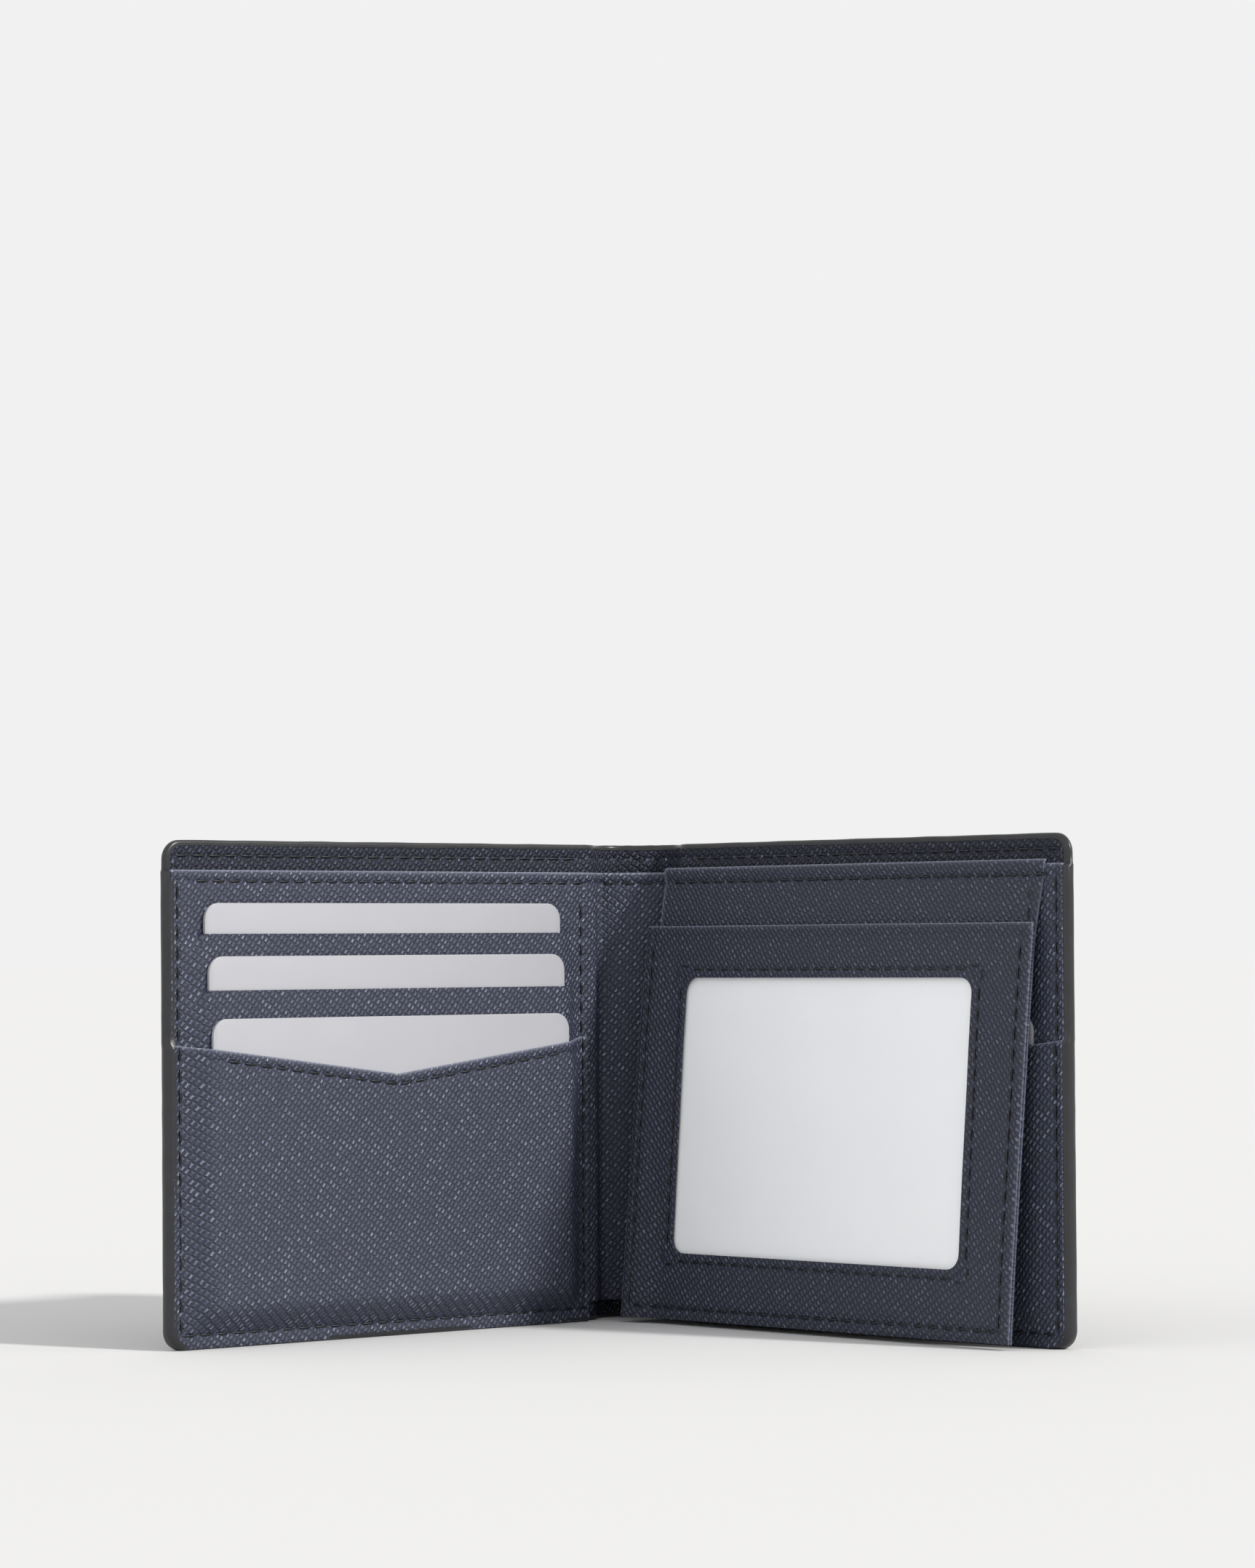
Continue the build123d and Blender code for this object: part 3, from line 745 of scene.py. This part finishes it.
def cardPanel(side):
    name, matrix = f"{side}_card_panel", leafMatrix[side]
    low, high = span(name, matrix)
    slits = [span(f"{side}_{which}_pocket_bag", matrix)[1].z for which in ("upper", "lower")]
    cardLow, cardHigh = span("left_top_card", leftLeaf)
    slitStart, slitEnd = cardLow.x - slitLook["spine"], cardHigh.x + slitLook["free"]
    easeStart, easeEnd = slitStart + slitLook["easeIn"], slitEnd - slitLook["easeIn"]
    thick = panelLook["leather"]
    baseY, lifts = low.y, [0, slitLook["lip"], slitLook["lip"] * 1.5]
    if side == "left":
        baseY = high.y - thick
        fronts = [span(f"left_{which}_card", matrix)[0].y for which in ("top", "middle")]
        lifts = [0] + [baseY - (front - panelLook["clearance"] - thick) for front in fronts]
    hemZ, seamEnd, inner = high.z - seamLines["hem"], leafEnd - seamLines["edge"], low.x + seamLines["inner"]
    piece = layOut(f"{name}_leather", low.x, high.x, low.z, high.z, panelLook["cell"])
    score(piece, 2, slits + [z - 0.5 for z in slits] + [z + 0.5 for z in slits])
    score(piece, 2, seamRows(hemZ) + [high.z - row for row in rimLook["rows"]])
    score(piece, 0, seamRows(seamEnd, inner))
    score(piece, 0, [slitStart, slitStart + 0.7, slitEnd - 0.7, slitEnd, slitEnd + 0.8])
    for height in slits:
        slit(piece, height, slitStart, slitEnd)
    layGrain(piece, 0, sideCut[side])
    # painted highlight along the hem's folded top rim
    markRimHighlight(piece, lambda spot: high.z - spot.z)

    def rule(spot, facesZ):
        u, z = spot.x, spot.z
        outside = max(smooth(easeStart - u, 0, slitLook["easeOut"]), smooth(u - easeEnd, 0, slitLook["easeOut"]))
        lift = 0
        for i, height in enumerate(slits):
            share = 1 if facesZ < height else 0
            if outside > 0:
                share = smooth(height - z, 0, slitLook["drop"] * outside + 0.01)
            lift += (lifts[i + 1] - lifts[i]) * share
        lift *= overCards(spot, low, high)
        dip = max(sewn(z - hemZ, u) if u < seamEnd + 0.5 and side == "left" else 0,
                  sewn(u - seamEnd, z), sewn(u - inner, z) if z < hemZ + 0.5 else 0)
        swell = panelLook["swell"] * noise.noise(Vector((u, z, 21)) * 0.05)
        spot.y = baseY - lift + dip - hemPuff(high.z - z) - swell + turnedRim(high.z - z)
        return ease(spot, high.x, high.z + above, low.z, panelLook["corner"])
    shape(piece, rule)
    thicken(piece, thick - 0.04, panelLook["rounding"])
    carry(piece, matrix)
    finishPiece(piece, leather, "inner_leather", f"{side}_leaf", [name])


for side in ("left", "right"):
    cardPanel(side)
print("card panels made")


# chevron pockets

chevronLook = {"leather": 0.5, "rounding": 0.16, "swell": 0.12, "puffMiddle": 0.95, "puffWidth": 0.75}


def chevronPocket(side):
    name, matrix = f"{side}_chevron_pocket", leafMatrix[side]
    low, high = span(name, matrix)
    back = matrix.inverted()
    middle = (low.x + high.x) / 2
    edgeSpots = [back @ (vertex.co / mm) for vertex in nodes[name].data.vertices]
    apex = min(spot.z for spot in edgeSpots if abs(spot.x - middle) < 0.05 and spot.z > 30)
    slope = (high.z - apex) / (high.x - middle)
    thick = chevronLook["leather"]
    margin = high.y - thick  # front face of the sewn margin
    lift = margin - (span(f"{side}_bottom_card", matrix)[0].y - panelLook["clearance"] - thick)
    seamEnd, inner, seamLow = leafEnd - seamLines["edge"], low.x + seamLines["inner"], seamLines["bottom"]
    piece = layOut(f"{side}_chevron_leather", low.x, high.x, low.z, high.z, panelLook["cell"])
    score(piece, 0, [middle - 0.6, middle, middle + 0.6])
    score(piece, 0, seamRows(seamEnd, inner))
    score(piece, 2, seamRows(seamLow))
    activate(piece)
    bpy.ops.object.mode_set(mode="EDIT")
    for sign in (-1, 1):
        normal = Vector((-sign * slope, 0, 1)).normalized()
        for below in (*rimLook["rows"], 1.0, *seamRows(seamLines["chevron"]), 0):  # the cut at 0 trims the sheet
            body = bmesh.from_edit_mesh(piece.data)
            if below:
                bpy.ops.mesh.select_all(action="DESELECT")
            for face in body.faces:
                face.select = (face.calc_center_median().x - middle) * sign > 0
            bmesh.update_edit_mesh(piece.data)
            bpy.ops.mesh.bisect(plane_co=(middle, 0, apex - below), plane_no=normal, clear_outer=below == 0)
    endPick()
    layGrain(piece, 0.4, sideCut[side])
    # painted highlight along the chevron's folded rim
    markRimHighlight(piece, lambda spot: apex + slope * abs(spot.x - middle) - spot.z)

    def rule(spot, _):
        u, z = spot.x, spot.z
        below = apex + slope * abs(u - middle) - z
        dip = max(sewn(u - seamEnd, z), sewn(z - seamLow, u), sewn(u - inner, z),
                  sewn(below - seamLines["chevron"], u) if inner + 4 < u < seamEnd - 4 else 0)
        puff = hemPuff(below, chevronLook["puffMiddle"], chevronLook["puffWidth"])
        swell = chevronLook["swell"] * noise.noise(Vector((u, z, 33)) * 0.045)
        lifted = lift * overCards(spot, low, high)
        spot.y = margin - lifted + dip - puff - swell + turnedRim(below)
        return ease(spot, high.x, high.z + above, low.z, panelLook["corner"])
    shape(piece, rule)
    thicken(piece, thick - 0.04, chevronLook["rounding"])
    carry(piece, matrix)
    finishPiece(piece, leather, "inner_leather", f"{side}_leaf", [name])


for side in ("left", "right"):
    chevronPocket(side)
print("chevron pockets made")


# centre strip, in two halves that run in under the panels

stripLook = {"tuck": 4.5, "cornerRadius": 1.4, "foldRadius": 2.6, "level": 0.48, "cell": 1.0, "swell": 0.1,
             "clearance": 0.05, "rounding": 0.12}


def centreStrip(side):
    low, high = span("centre_strip")
    wallX = spineHigh.x - wall - (high.y - low.y)
    levelY = liningFace - stripLook["level"]
    meet = meetSide(levelY, wallX)
    route = bendRoute([(0, low.y), (wallX, low.y), leafLine(levelY, meet), leafLine(levelY, stripLook["tuck"])],
                      [stripLook["cornerRadius"], stripLook["foldRadius"]])
    total = sum(run[1] for run in route)
    piece = layOut(f"{side}_centre_strip_leather", 0, total, low.z, high.z, stripLook["cell"])
    hemZ = high.z - seamLines["hem"]
    score(piece, 2, seamRows(hemZ) + [high.z - row for row in rimLook["rows"]])
    score(piece, 0, [0.3 + 0.5 * i for i in range(int((total - 0.5) / 0.5))])
    layGrain(piece, 0.57, sideCut[side])
    # painted highlight along the strip's folded top rim
    markRimHighlight(piece, lambda spot: high.z - spot.z)

    def rule(spot, _):
        s, z = spot.x, spot.z
        lift = hemPuff(high.z - z) - sewn(z - hemZ, s) - turnedRim(high.z - z)
        swell = stripLook["swell"] * noise.noise(Vector((s, z, 41)) * 0.08)
        flat = onRoute(route, s, lift + swell - stripLook["clearance"])
        return Vector((flat.x, flat.y, z))
    shape(piece, rule)
    thicken(piece, high.y - low.y - 0.02, stripLook["rounding"])
    carry(piece, halfMatrix[side])
    finishPiece(piece, leather, "inner_leather")
    bendAtFold(piece)
    return piece


for side in ("left", "right"):
    strip = centreStrip(side)
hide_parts("centre_strip")
print("centre strip made")


# the flap

flapLook = {
    "bow": 0.5, "bowEnd": 0.39, "curl": 2.4, "curlWidth": 4,  # it bows out, and its inner corner curls forward
    "trim": 0.9, "behind": 0.55, "drawIn": 0.9,  # its free side stops short, the layers behind a little more
    "cell": 0.9, "leather": 0.5, "rounding": 0.16, "turnedEdge": 0.95, "sideRoll": (0.35, 0.55), "rimRoll": 0.35,
    "sides": (1.9, 2.7, 2.3), "seamIn": 1.1, "seamShift": 0.65,  # seams from the spine side, free side and bottom
    "windowSeam": 2.3, "windowCorner": 3.0, "cornerRows": (0, 0.2, 0.5, 0.9, 1.4, 2.1, 3.0),
    "mouthPuff": (0.32, 0.9, 0.75), "windowPuff": (0.14, 0.9, 0.8), "swell": 0.1, "insertThickness": 0.2,
}
paneLow, paneHigh = span("window_panel", flapMatrix)
baseLow, baseHigh = span("flap_base_panel", flapMatrix)
backLow, backHigh = span("flap_back_panel", flapMatrix)
filmLow, filmHigh = span("window_film", flapMatrix)
stripLow, stripHigh = span("flap_hinge_strip", rightLeaf)
flapLength = -paneLow.z
paneSpots = [flapMatrix.inverted() @ (vertex.co / mm) for vertex in nodes["window_panel"].data.vertices]
holeSpots = [spot for spot in paneSpots if paneLow.x + 5 < spot.x < paneHigh.x - 5
             and paneLow.z + 5 < spot.z < paneHigh.z - 5 and spot.y < paneLow.y + 0.1]
windowLow = Vector((min(spot.x for spot in holeSpots), 0, min(spot.z for spot in holeSpots)))
windowHigh = Vector((max(spot.x for spot in holeSpots), 0, max(spot.z for spot in holeSpots)))
windowMiddle, windowHalf = (windowLow + windowHigh) / 2, (windowHigh - windowLow) / 2
freeShort = Vector((flapLook["trim"], 0, 0))
behindShort = Vector((flapLook["trim"] + flapLook["behind"], 0, 0))


def flapBow(z, u=40):  # the flap leans out below its hinge and hangs straighter; its inner corner curls forward
    share = min(1, max(0, -z / flapLength))
    bow = flapLook["bow"] * smooth(share, 0, flapLook["bowEnd"]) * (1 - share) ** 0.8
    return bow + flapLook["curl"] * smooth(-u, -flapLook["curlWidth"], 6) * share ** 0.55


def drawnIn(u, z):  # the flap's free side runs in towards its lower corner
    return flapLook["drawIn"] * smooth(-z, 4, flapLength) * smooth(u, 86, 96)


def pastCorner(du, dz):  # from the window's middle to the centres of its corner arcs
    radius = flapLook["windowCorner"]
    return abs(du) - (windowHalf.x - radius), abs(dz) - (windowHalf.z - radius)


def windowGap(u, z):  # distance outside the window's rounded edge
    du, dz = pastCorner(u - windowMiddle.x, z - windowMiddle.z)
    return math.hypot(max(du, 0), max(dz, 0)) + min(max(du, dz), 0) - flapLook["windowCorner"]


def roundWindow(piece):  # draws the hole's ragged corners onto their arcs
    radius = flapLook["windowCorner"]
    body = bmesh.new()
    body.from_mesh(piece.data)
    for vertex in body.verts:
        away = vertex.co - windowMiddle
        du, dz = pastCorner(away.x, away.z)
        if vertex.is_boundary and du > 0 and dz > 0 and math.hypot(du, dz) < radius + 1.5:
            scale = radius / math.hypot(du, dz)
            vertex.co.x = windowMiddle.x + math.copysign(windowHalf.x - radius + du * scale, away.x)
            vertex.co.z = windowMiddle.z + math.copysign(windowHalf.z - radius + dz * scale, away.z)
    body.to_mesh(piece.data)
    body.free()


def windowPanel():
    low, high = paneLow, paneHigh - freeShort
    seam = flapLook["windowSeam"]
    seamU0, seamU1, seamZ = (place + gap for place, gap in zip((low.x, high.x, low.z), flapSeams))
    piece = layOut("window_panel_leather", low.x, high.x, low.z, high.z, flapLook["cell"])
    rows = rimLook["rows"]
    score(piece, 2, seamRows(seamZ) + [high.z - row for row in rows])
    score(piece, 0, seamRows(seamU0, seamU1))
    score(piece, 0, [low.x + row for row in rows] + [high.x - row for row in rows])
    for axis in (0, 2):
        score(piece, axis, [*seamRows(windowLow[axis] - seam), windowLow[axis] - 0.7,
                            windowHigh[axis] + 0.7, *seamRows(windowHigh[axis] + seam)])
    for axis in (0, 2):
        score(piece, axis, [windowLow[axis] + step for step in flapLook["cornerRows"]])
        score(piece, axis, [windowHigh[axis] - step for step in flapLook["cornerRows"]])
    pickFaces(piece, lambda centre, _: windowGap(centre.x, centre.z) < 0)
    bpy.ops.mesh.delete(type="FACE")
    endPick()
    roundWindow(piece)
    layGrain(piece, 0.13)
    # turned edges: the leather goes round both sides and the bottom
    pickEdges(piece, lambda a, b: (max(a.x, b.x) < low.x + near) or (min(a.x, b.x) > high.x - near)
              or (max(a.z, b.z) < low.z + near))
    for depth in (0.5, flapLook["turnedEdge"] - 0.5):
        bpy.ops.mesh.extrude_region_move(TRANSFORM_OT_translate={"value": (0, depth, 0)})
    endPick()
    # painted highlight along the top rim and both turned sides, strongest at their front corners
    markRimHighlight(piece, lambda spot: min(high.z - spot.z, high.x - spot.x + 0.06, spot.x - low.x + 0.12)
            + 0.7 * spot.y, 0.2)
    mouth, mouthMiddle, mouthWidth = flapLook["mouthPuff"]
    ring, ringMiddle, ringWidth = flapLook["windowPuff"]
    roll, rollWidth = flapLook["sideRoll"]

    def rule(spot, _):
        u, z = spot.x, spot.z
        gap = windowGap(u, z)
        sunk = rounded = 0
        if spot.y < 0.1:  # the face, not the turned edge
            dip = groove(gap - seam + flapLook["seamShift"]) * 1.1
            if z > seamZ - 0.5:
                dip = max(dip, sewn(u - seamU0, z), sewn(u - seamU1, z))
            if seamU0 - 0.5 < u < seamU1 + 0.5:
                dip = max(dip, sewn(z - seamZ, u))
            puff = mouth * hill(high.z - z - mouthMiddle, mouthWidth)
            if -0.5 < gap < 2:
                puff += ring * hill(gap - ringMiddle, ringWidth)
            swell = flapLook["swell"] * noise.noise(Vector((u, z, 55)) * 0.05)
            sunk = dip - puff - swell
            rounded = roll * hill(min(u - low.x, high.x - u, z - low.z), rollWidth)
        rounded += flapLook["rimRoll"] * turnedRim(high.z - z)
        spot.y = low.y + spot.y + sunk + rounded - flapBow(z, u)
        spot.x -= drawnIn(u, z)
        return spot
    shape(piece, rule)
    thicken(piece, flapLook["leather"] - 0.05, flapLook["rounding"])
    carry(piece, flapMatrix)
    finishPiece(piece, shadedFlapLeather, "inner_leather", "flap", ["window_panel"])


flapSeams = (flapLook["sides"][0], -flapLook["sides"][1], flapLook["sides"][2])
windowPanel()


def flapLayer(name, low, high, cell, thick, rounding, finish, offset=0.0, wave=0.0):
    piece = layOut(name, low.x, high.x, low.z, high.z, cell)
    layGrain(piece, offset)

    def rule(spot, _):
        ripple = wave * noise.noise(Vector((spot.x, spot.z, 61)) * 0.07)
        spot.y = low.y - flapBow(spot.z, spot.x) - ripple
        spot.x -= drawnIn(spot.x, spot.z)
        return spot
    shape(piece, rule)
    thicken(piece, thick, rounding)
    carry(piece, flapMatrix)
    finishPiece(piece, *finish)


insertLow, insertHigh = span("id_insert", flapMatrix)
insertLow.y = (insertLow.y + insertHigh.y - flapLook["insertThickness"]) / 2
flapLayer("clear_window_film", filmLow, filmHigh, 1.6, filmHigh.y - filmLow.y, 0.02,
          (film, "clear_film", "flap", ["window_film"]), wave=0.08)
flapLayer("window_insert", insertLow, insertHigh, 2.0, flapLook["insertThickness"], 0.06,
          (insertBoard, "card_paper", "id_insert", ["id_insert"]))
flapLayer("flap_back_leather", backLow, backHigh - behindShort, 1.4, backHigh.y - backLow.y, 0.12,
          (shadedFlapLeather, "inner_leather", "flap", ["flap_back_panel"]), 0.7, 0.05)

tabLook = {"cell": 1.1, "rounding": 0.14, "puff": (0.14, 1.0, 0.8), "sideRoll": (0.2, 0.5), "narrower": 0.8,
           "hingeRows": (0.2, -0.2, -0.6, -1.0, -1.5, -2.0), "blendAt": 47, "blendUp": 0.45, "blendDown": 1.1}


def hingeLeather():  # the flap's base: sewn strip, soft hinge and base panel in one skin
    top = stripHigh.z - flapAxis.z
    left, right = stripLow.x, baseHigh.x - behindShort.x
    piece = layOut("flap_base_leather", left, right, baseLow.z, top, tabLook["cell"])
    hemZ = span("flap_seam_stitching", rightLeaf)
    seamZ = (hemZ[0].z + hemZ[1].z) / 2 - flapAxis.z
    seamU1 = right + flapLook["behind"] - flapLook["sides"][1]
    rows = rimLook["rows"]
    score(piece, 2, [top - row for row in rows])
    score(piece, 2, [*seamRows(seamZ), *tabLook["hingeRows"], paneHigh.z])
    score(piece, 0, seamRows(seamU1) + [right - row for row in rows])
    layGrain(piece, 0.21)
    # painted highlight along the strip's top rim and both sides
    markRimHighlight(piece, lambda spot: min(top - spot.z, right - spot.x + 0.1, spot.x - left + 0.12), 0.22)
    widen = stripHigh.x - right - tabLook["narrower"]
    puffed, puffMiddle, puffWidth = tabLook["puff"]
    roll, rollWidth = tabLook["sideRoll"]

    def rule(spot, _):
        u, z = spot.x, spot.z
        level = max(sewn(z - seamZ, u), sewn(u - seamU1, z) if z < seamZ else 0)
        level += roll * hill(min(u - left, right - u), rollWidth) + turnedRim(top - z)
        spread = widen * smooth(z, -14, top + 4) * smooth(u, right - 12, right) - drawnIn(u, z)
        if z > 0:  # the strip sewn on the leaf
            level -= puffed * hill(top - z - puffMiddle, puffWidth)
            return Vector((u + spread, stripLow.y + level, flapAxis.z + z))
        hung = Vector((u + spread, level - flapBow(z, u) * smooth(-z, 0, 3), z))
        return rightLeaf.inverted() @ flapMatrix @ hung
    shape(piece, rule)
    thicken(piece, stripHigh.y - stripLow.y - 0.04, tabLook["rounding"])
    carry(piece, rightLeaf)
    finishPiece(piece, shadedFlapLeather, "inner_leather")
    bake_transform(piece)
    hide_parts("flap_hinge_strip", "flap_base_panel")


hingeLeather()
print("flap made")


# cards

cardEdge = {"corner": 3.18, "segments": 8, "rim": 0.13}


def card(node, matrix):
    low, high = span(node, matrix)
    piece = block(f"{node}_blank", low, high)
    pickEdges(piece, lambda a, b: abs(a.y - b.y) > 0.1)
    bpy.ops.mesh.bevel(offset=cardEdge["corner"], segments=cardEdge["segments"], affect="EDGES")
    endPick()
    roundEdges(piece, cardEdge["rim"], 2, 60)
    carry(piece, matrix)
    finishPiece(piece, cardStock, "card_plastic", node, [node])


for node in ("left_top_card", "left_middle_card", "left_bottom_card"):
    card(node, leftLeaf)
card("right_bottom_card", rightLeaf)
print("cards made")


# stitches

stitchLook = {"radius": 0.21, "sides": 8, "parts": 4, "taper": 0.35, "dip": 0.2, "sink": 0.1, "wobble": 0.05,
              "length": 2.3}


def threadBit():  # one stitch along X, its ends going down into the leather
    deselectAll()
    bpy.ops.mesh.primitive_cylinder_add(vertices=stitchLook["sides"], radius=stitchLook["radius"], depth=1,
                                        rotation=(0, math.pi / 2, 0))
    bit = named("thread_bit")
    settle(bit)
    score(bit, 0, [-0.5 + (i + 1) / (stitchLook["parts"] + 1) for i in range(stitchLook["parts"])])

    def rule(spot, _):
        share = abs(spot.x) * 2
        thin = 1 - stitchLook["taper"] * share ** 4
        return Vector((spot.x, spot.y * thin, spot.z * thin - stitchLook["dip"] * share ** 3))
    layGrain(bit)
    shape(bit, rule)
    return bit


def stitchesOf(node):  # centre, length and facing of each CAD stitch
    body = bmesh.new()
    body.from_mesh(nodes[node].data)
    bmesh.ops.remove_doubles(body, verts=body.verts, dist=1e-6)
    body.verts.ensure_lookup_table()
    seen, found = set(), []
    for vertex in body.verts:
        if vertex.index in seen:
            continue
        group, queue = [], [vertex]
        seen.add(vertex.index)
        while queue:
            now = queue.pop()
            group.append(now.co / mm)
            for edge in now.link_edges:
                other = edge.other_vert(now)
                if other.index not in seen:
                    seen.add(other.index)
                    queue.append(other)
        centre = sum(group, Vector()) / len(group)
        first = group[0]
        others = sorted(group[1:], key=lambda spot: (spot - first).length)
        facing = (others[0] - first).normalized()
        longWay = max(((spot - first) for spot in group if abs((spot - first).normalized().dot(facing)) < 0.05
                       and spot is not first), key=lambda way: way.length)
        across = (others[1] - first).normalized()
        longWay = longWay - across * longWay.dot(across)
        found.append((centre, longWay, facing))
    body.free()
    return found


def sew(name, node, body, towards, lift=None, extra=()):
    bits = []
    for centre, way, facing in (*stitchesOf(node), *extra):
        out = towards(centre)
        if facing.dot(out) < 0:
            facing = -facing
        if lift:
            centre = centre + lift(centre)
        wobble = noise.noise(centre * 1.7)
        along = way.normalized()
        along = (along + facing.cross(along) * stitchLook["wobble"] * wobble).normalized()
        side = facing.cross(along)
        turn = Matrix((along * (way.length + 0.1 + 0.1 * wobble), side, facing)).transposed().to_4x4()
        spot = centre - facing * stitchLook["sink"]
        bit = pattern.copy()
        bit.data = pattern.data.copy()
        bpy.context.scene.collection.objects.link(bit)
        bit.data.transform(Matrix.Scale(mm, 4) @ Matrix.Translation(spot) @ turn)
        bits.append(bit)
    deselectAll()
    for bit in bits:
        bit.select_set(True)
    bpy.context.view_layer.objects.active = bits[0]
    bpy.ops.object.join()
    piece = named(name)
    bpy.ops.object.shade_smooth_by_angle(angle=math.radians(50))
    finishPiece(piece, thread, "thread", body, [node])


pattern = threadBit()


def leafFacing(matrix):
    front = (matrix.to_3x3() @ Vector((0, -1, 0))).normalized()
    back = matrix.inverted()
    middleY = (outerY + liningFace) / 2

    def towards(centre):
        return -front if (back @ centre).y > middleY else front
    return towards


for side in ("left", "right"):
    facing = leafFacing(leafMatrix[side])
    for node in ("edge_stitching", "inner_seam", "chevron_stitching", "hem_stitching"):
        if f"{side}_{node}" in nodes:
            sew(f"{side}_{node}_thread", f"{side}_{node}", f"{side}_leaf", facing)
sew("flap_seam_thread", "flap_seam_stitching", "right_leaf", leafFacing(rightLeaf))
sew("centre_hem_thread", "centre_hem_stitching", "spine", lambda centre: Vector((0, -1, 0)))
flapSide, flapBack, flapUp = (way.normalized() for way in flapMatrix.to_3x3().col)


def flapLift(centre):  # from a stitch's CAD place to the shaped leather
    spot = flapMatrix.inverted() @ centre
    moved = -flapBack * flapBow(spot.z, spot.x)
    if windowGap(spot.x, spot.z) > flapLook["windowSeam"] + 0.3:
        across = flapLook["seamIn"] - flapLook["trim"] - drawnIn(spot.x, spot.z)
        moved += flapSide * across * smooth(spot.x, 86, 92)
    else:  # the window's seam runs close to its edge
        moved -= flapSide * flapLook["seamShift"] * ((spot.x > windowHigh.x) - (spot.x < windowLow.x))
        moved -= flapUp * flapLook["seamShift"] * ((spot.z > windowHigh.z) - (spot.z < windowLow.z))
    return moved


# the side seam carries on up the tab
tabU = paneHigh.x - flapLook["sides"][1] - flapLook["seamIn"] + 0.3
tabStitches = [(flapMatrix @ Vector((tabU, 0.05, z)), flapUp * stitchLook["length"], -flapBack) for z in (-6.4, -2.9)]
for node, extra in (("window_stitching", ()), ("flap_edge_stitching", tabStitches)):
    sew(f"{node}_thread", node, "flap", lambda centre: -flapBack, flapLift, extra)
bpy.data.objects.remove(pattern)
print("stitches sewn")


# CAD pieces that keep their shape

for side in ("left", "right"):
    for name, material in (("stiffener", fibreBoard), ("divider", taffeta), ("upper_pocket_bag", taffeta),
                           ("lower_pocket_bag", taffeta)):
        node = nodes[f"{side}_{name}"]
        node.data.materials.clear()
        node.data.materials.append(material)


# table, light and camera

tableLook = {"size": 60.0, "colour": "#cdcdcd", "cells": 8}


def paleTable():
    deselectAll()
    bpy.ops.mesh.primitive_grid_add(x_subdivisions=tableLook["cells"], y_subdivisions=tableLook["cells"],
                                    size=tableLook["size"], location=(0, 0, 0))
    table = named("table")
    material, tree = newMaterial("pale_table")
    shader = addNode(tree, "BsdfPrincipled", {"Base Color": colour(tableLook["colour"]), "Roughness": 0.9,
                                              "Specular IOR Level": 0.0})
    addNode(tree, "OutputMaterial", {"Surface": shader})
    table.data.materials.append(material)


paleTable()

# an even pale room, a soft key from the right and a faint fill from the left; the table is toned so that,
# lit by all three, it equals the room
lightLook = {"room": 0.88, "roomColour": "#ffffff",
             "key": {"from": (0.723, -0.385, 0.574), "strength": 2.9, "softness": 5.0, "colour": "#fffdfa"},
             "fill": {"from": (-0.66, -0.7, 0.3), "strength": 0.4, "softness": 70.0, "colour": "#f8faff"}}

world = bpy.data.worlds.new("studio")
bpy.context.scene.world = world
world.use_nodes = True
world.node_tree.nodes.clear()
room = addNode(world.node_tree, "Background", {"Color": colour(lightLook["roomColour"]),
                                               "Strength": lightLook["room"]})
addNode(world.node_tree, "OutputWorld", {"Surface": room})

for name in ("key", "fill"):
    look = lightLook[name]
    lamp = bpy.data.lights.new(name, "SUN")
    lamp.energy, lamp.color = look["strength"], colour(look["colour"])[:3]
    lamp.angle = math.radians(look["softness"])
    light = bpy.data.objects.new(name, lamp)
    bpy.context.scene.collection.objects.link(light)
    light.location = look["from"]
    light.rotation_euler = (-light.location).to_track_quat("-Z", "Y").to_euler()

# the camera stands 0.94 m in front, level with the upper part of the leaves, turned a little to the left;
# focal length, centre row and height are counted in rows of the render
cameraLook = {"at": (0.05362, -0.9382, 0.07385), "yaw": -3.416, "pitch": 0.961, "roll": -0.392,
              "focal": 6382.3, "centreRow": 1200, "height": 2156, "sensor": 36, "clip": (0.01, 50)}


def lookOut():
    look = cameraLook
    camera = bpy.data.cameras.new("camera")
    camera.sensor_fit = "VERTICAL"
    camera.sensor_height = look["sensor"]
    camera.lens = look["focal"] * look["sensor"] / look["height"]
    camera.shift_y = (look["centreRow"] - look["height"] / 2) / look["height"]
    camera.clip_start, camera.clip_end = look["clip"]
    stand = bpy.data.objects.new("camera", camera)
    bpy.context.scene.collection.objects.link(stand)
    aim = Matrix.Identity(4)
    for angle, axis in ((-look["yaw"], "Z"), (90 + look["pitch"], "X"), (look["roll"], "Z")):
        aim = aim @ Matrix.Rotation(math.radians(angle), 4, axis)
    stand.matrix_world = Matrix.Translation(look["at"]) @ aim
    bpy.context.scene.camera = stand


lookOut()
bpy.context.scene.view_settings.view_transform = "Standard"
print("stage set")
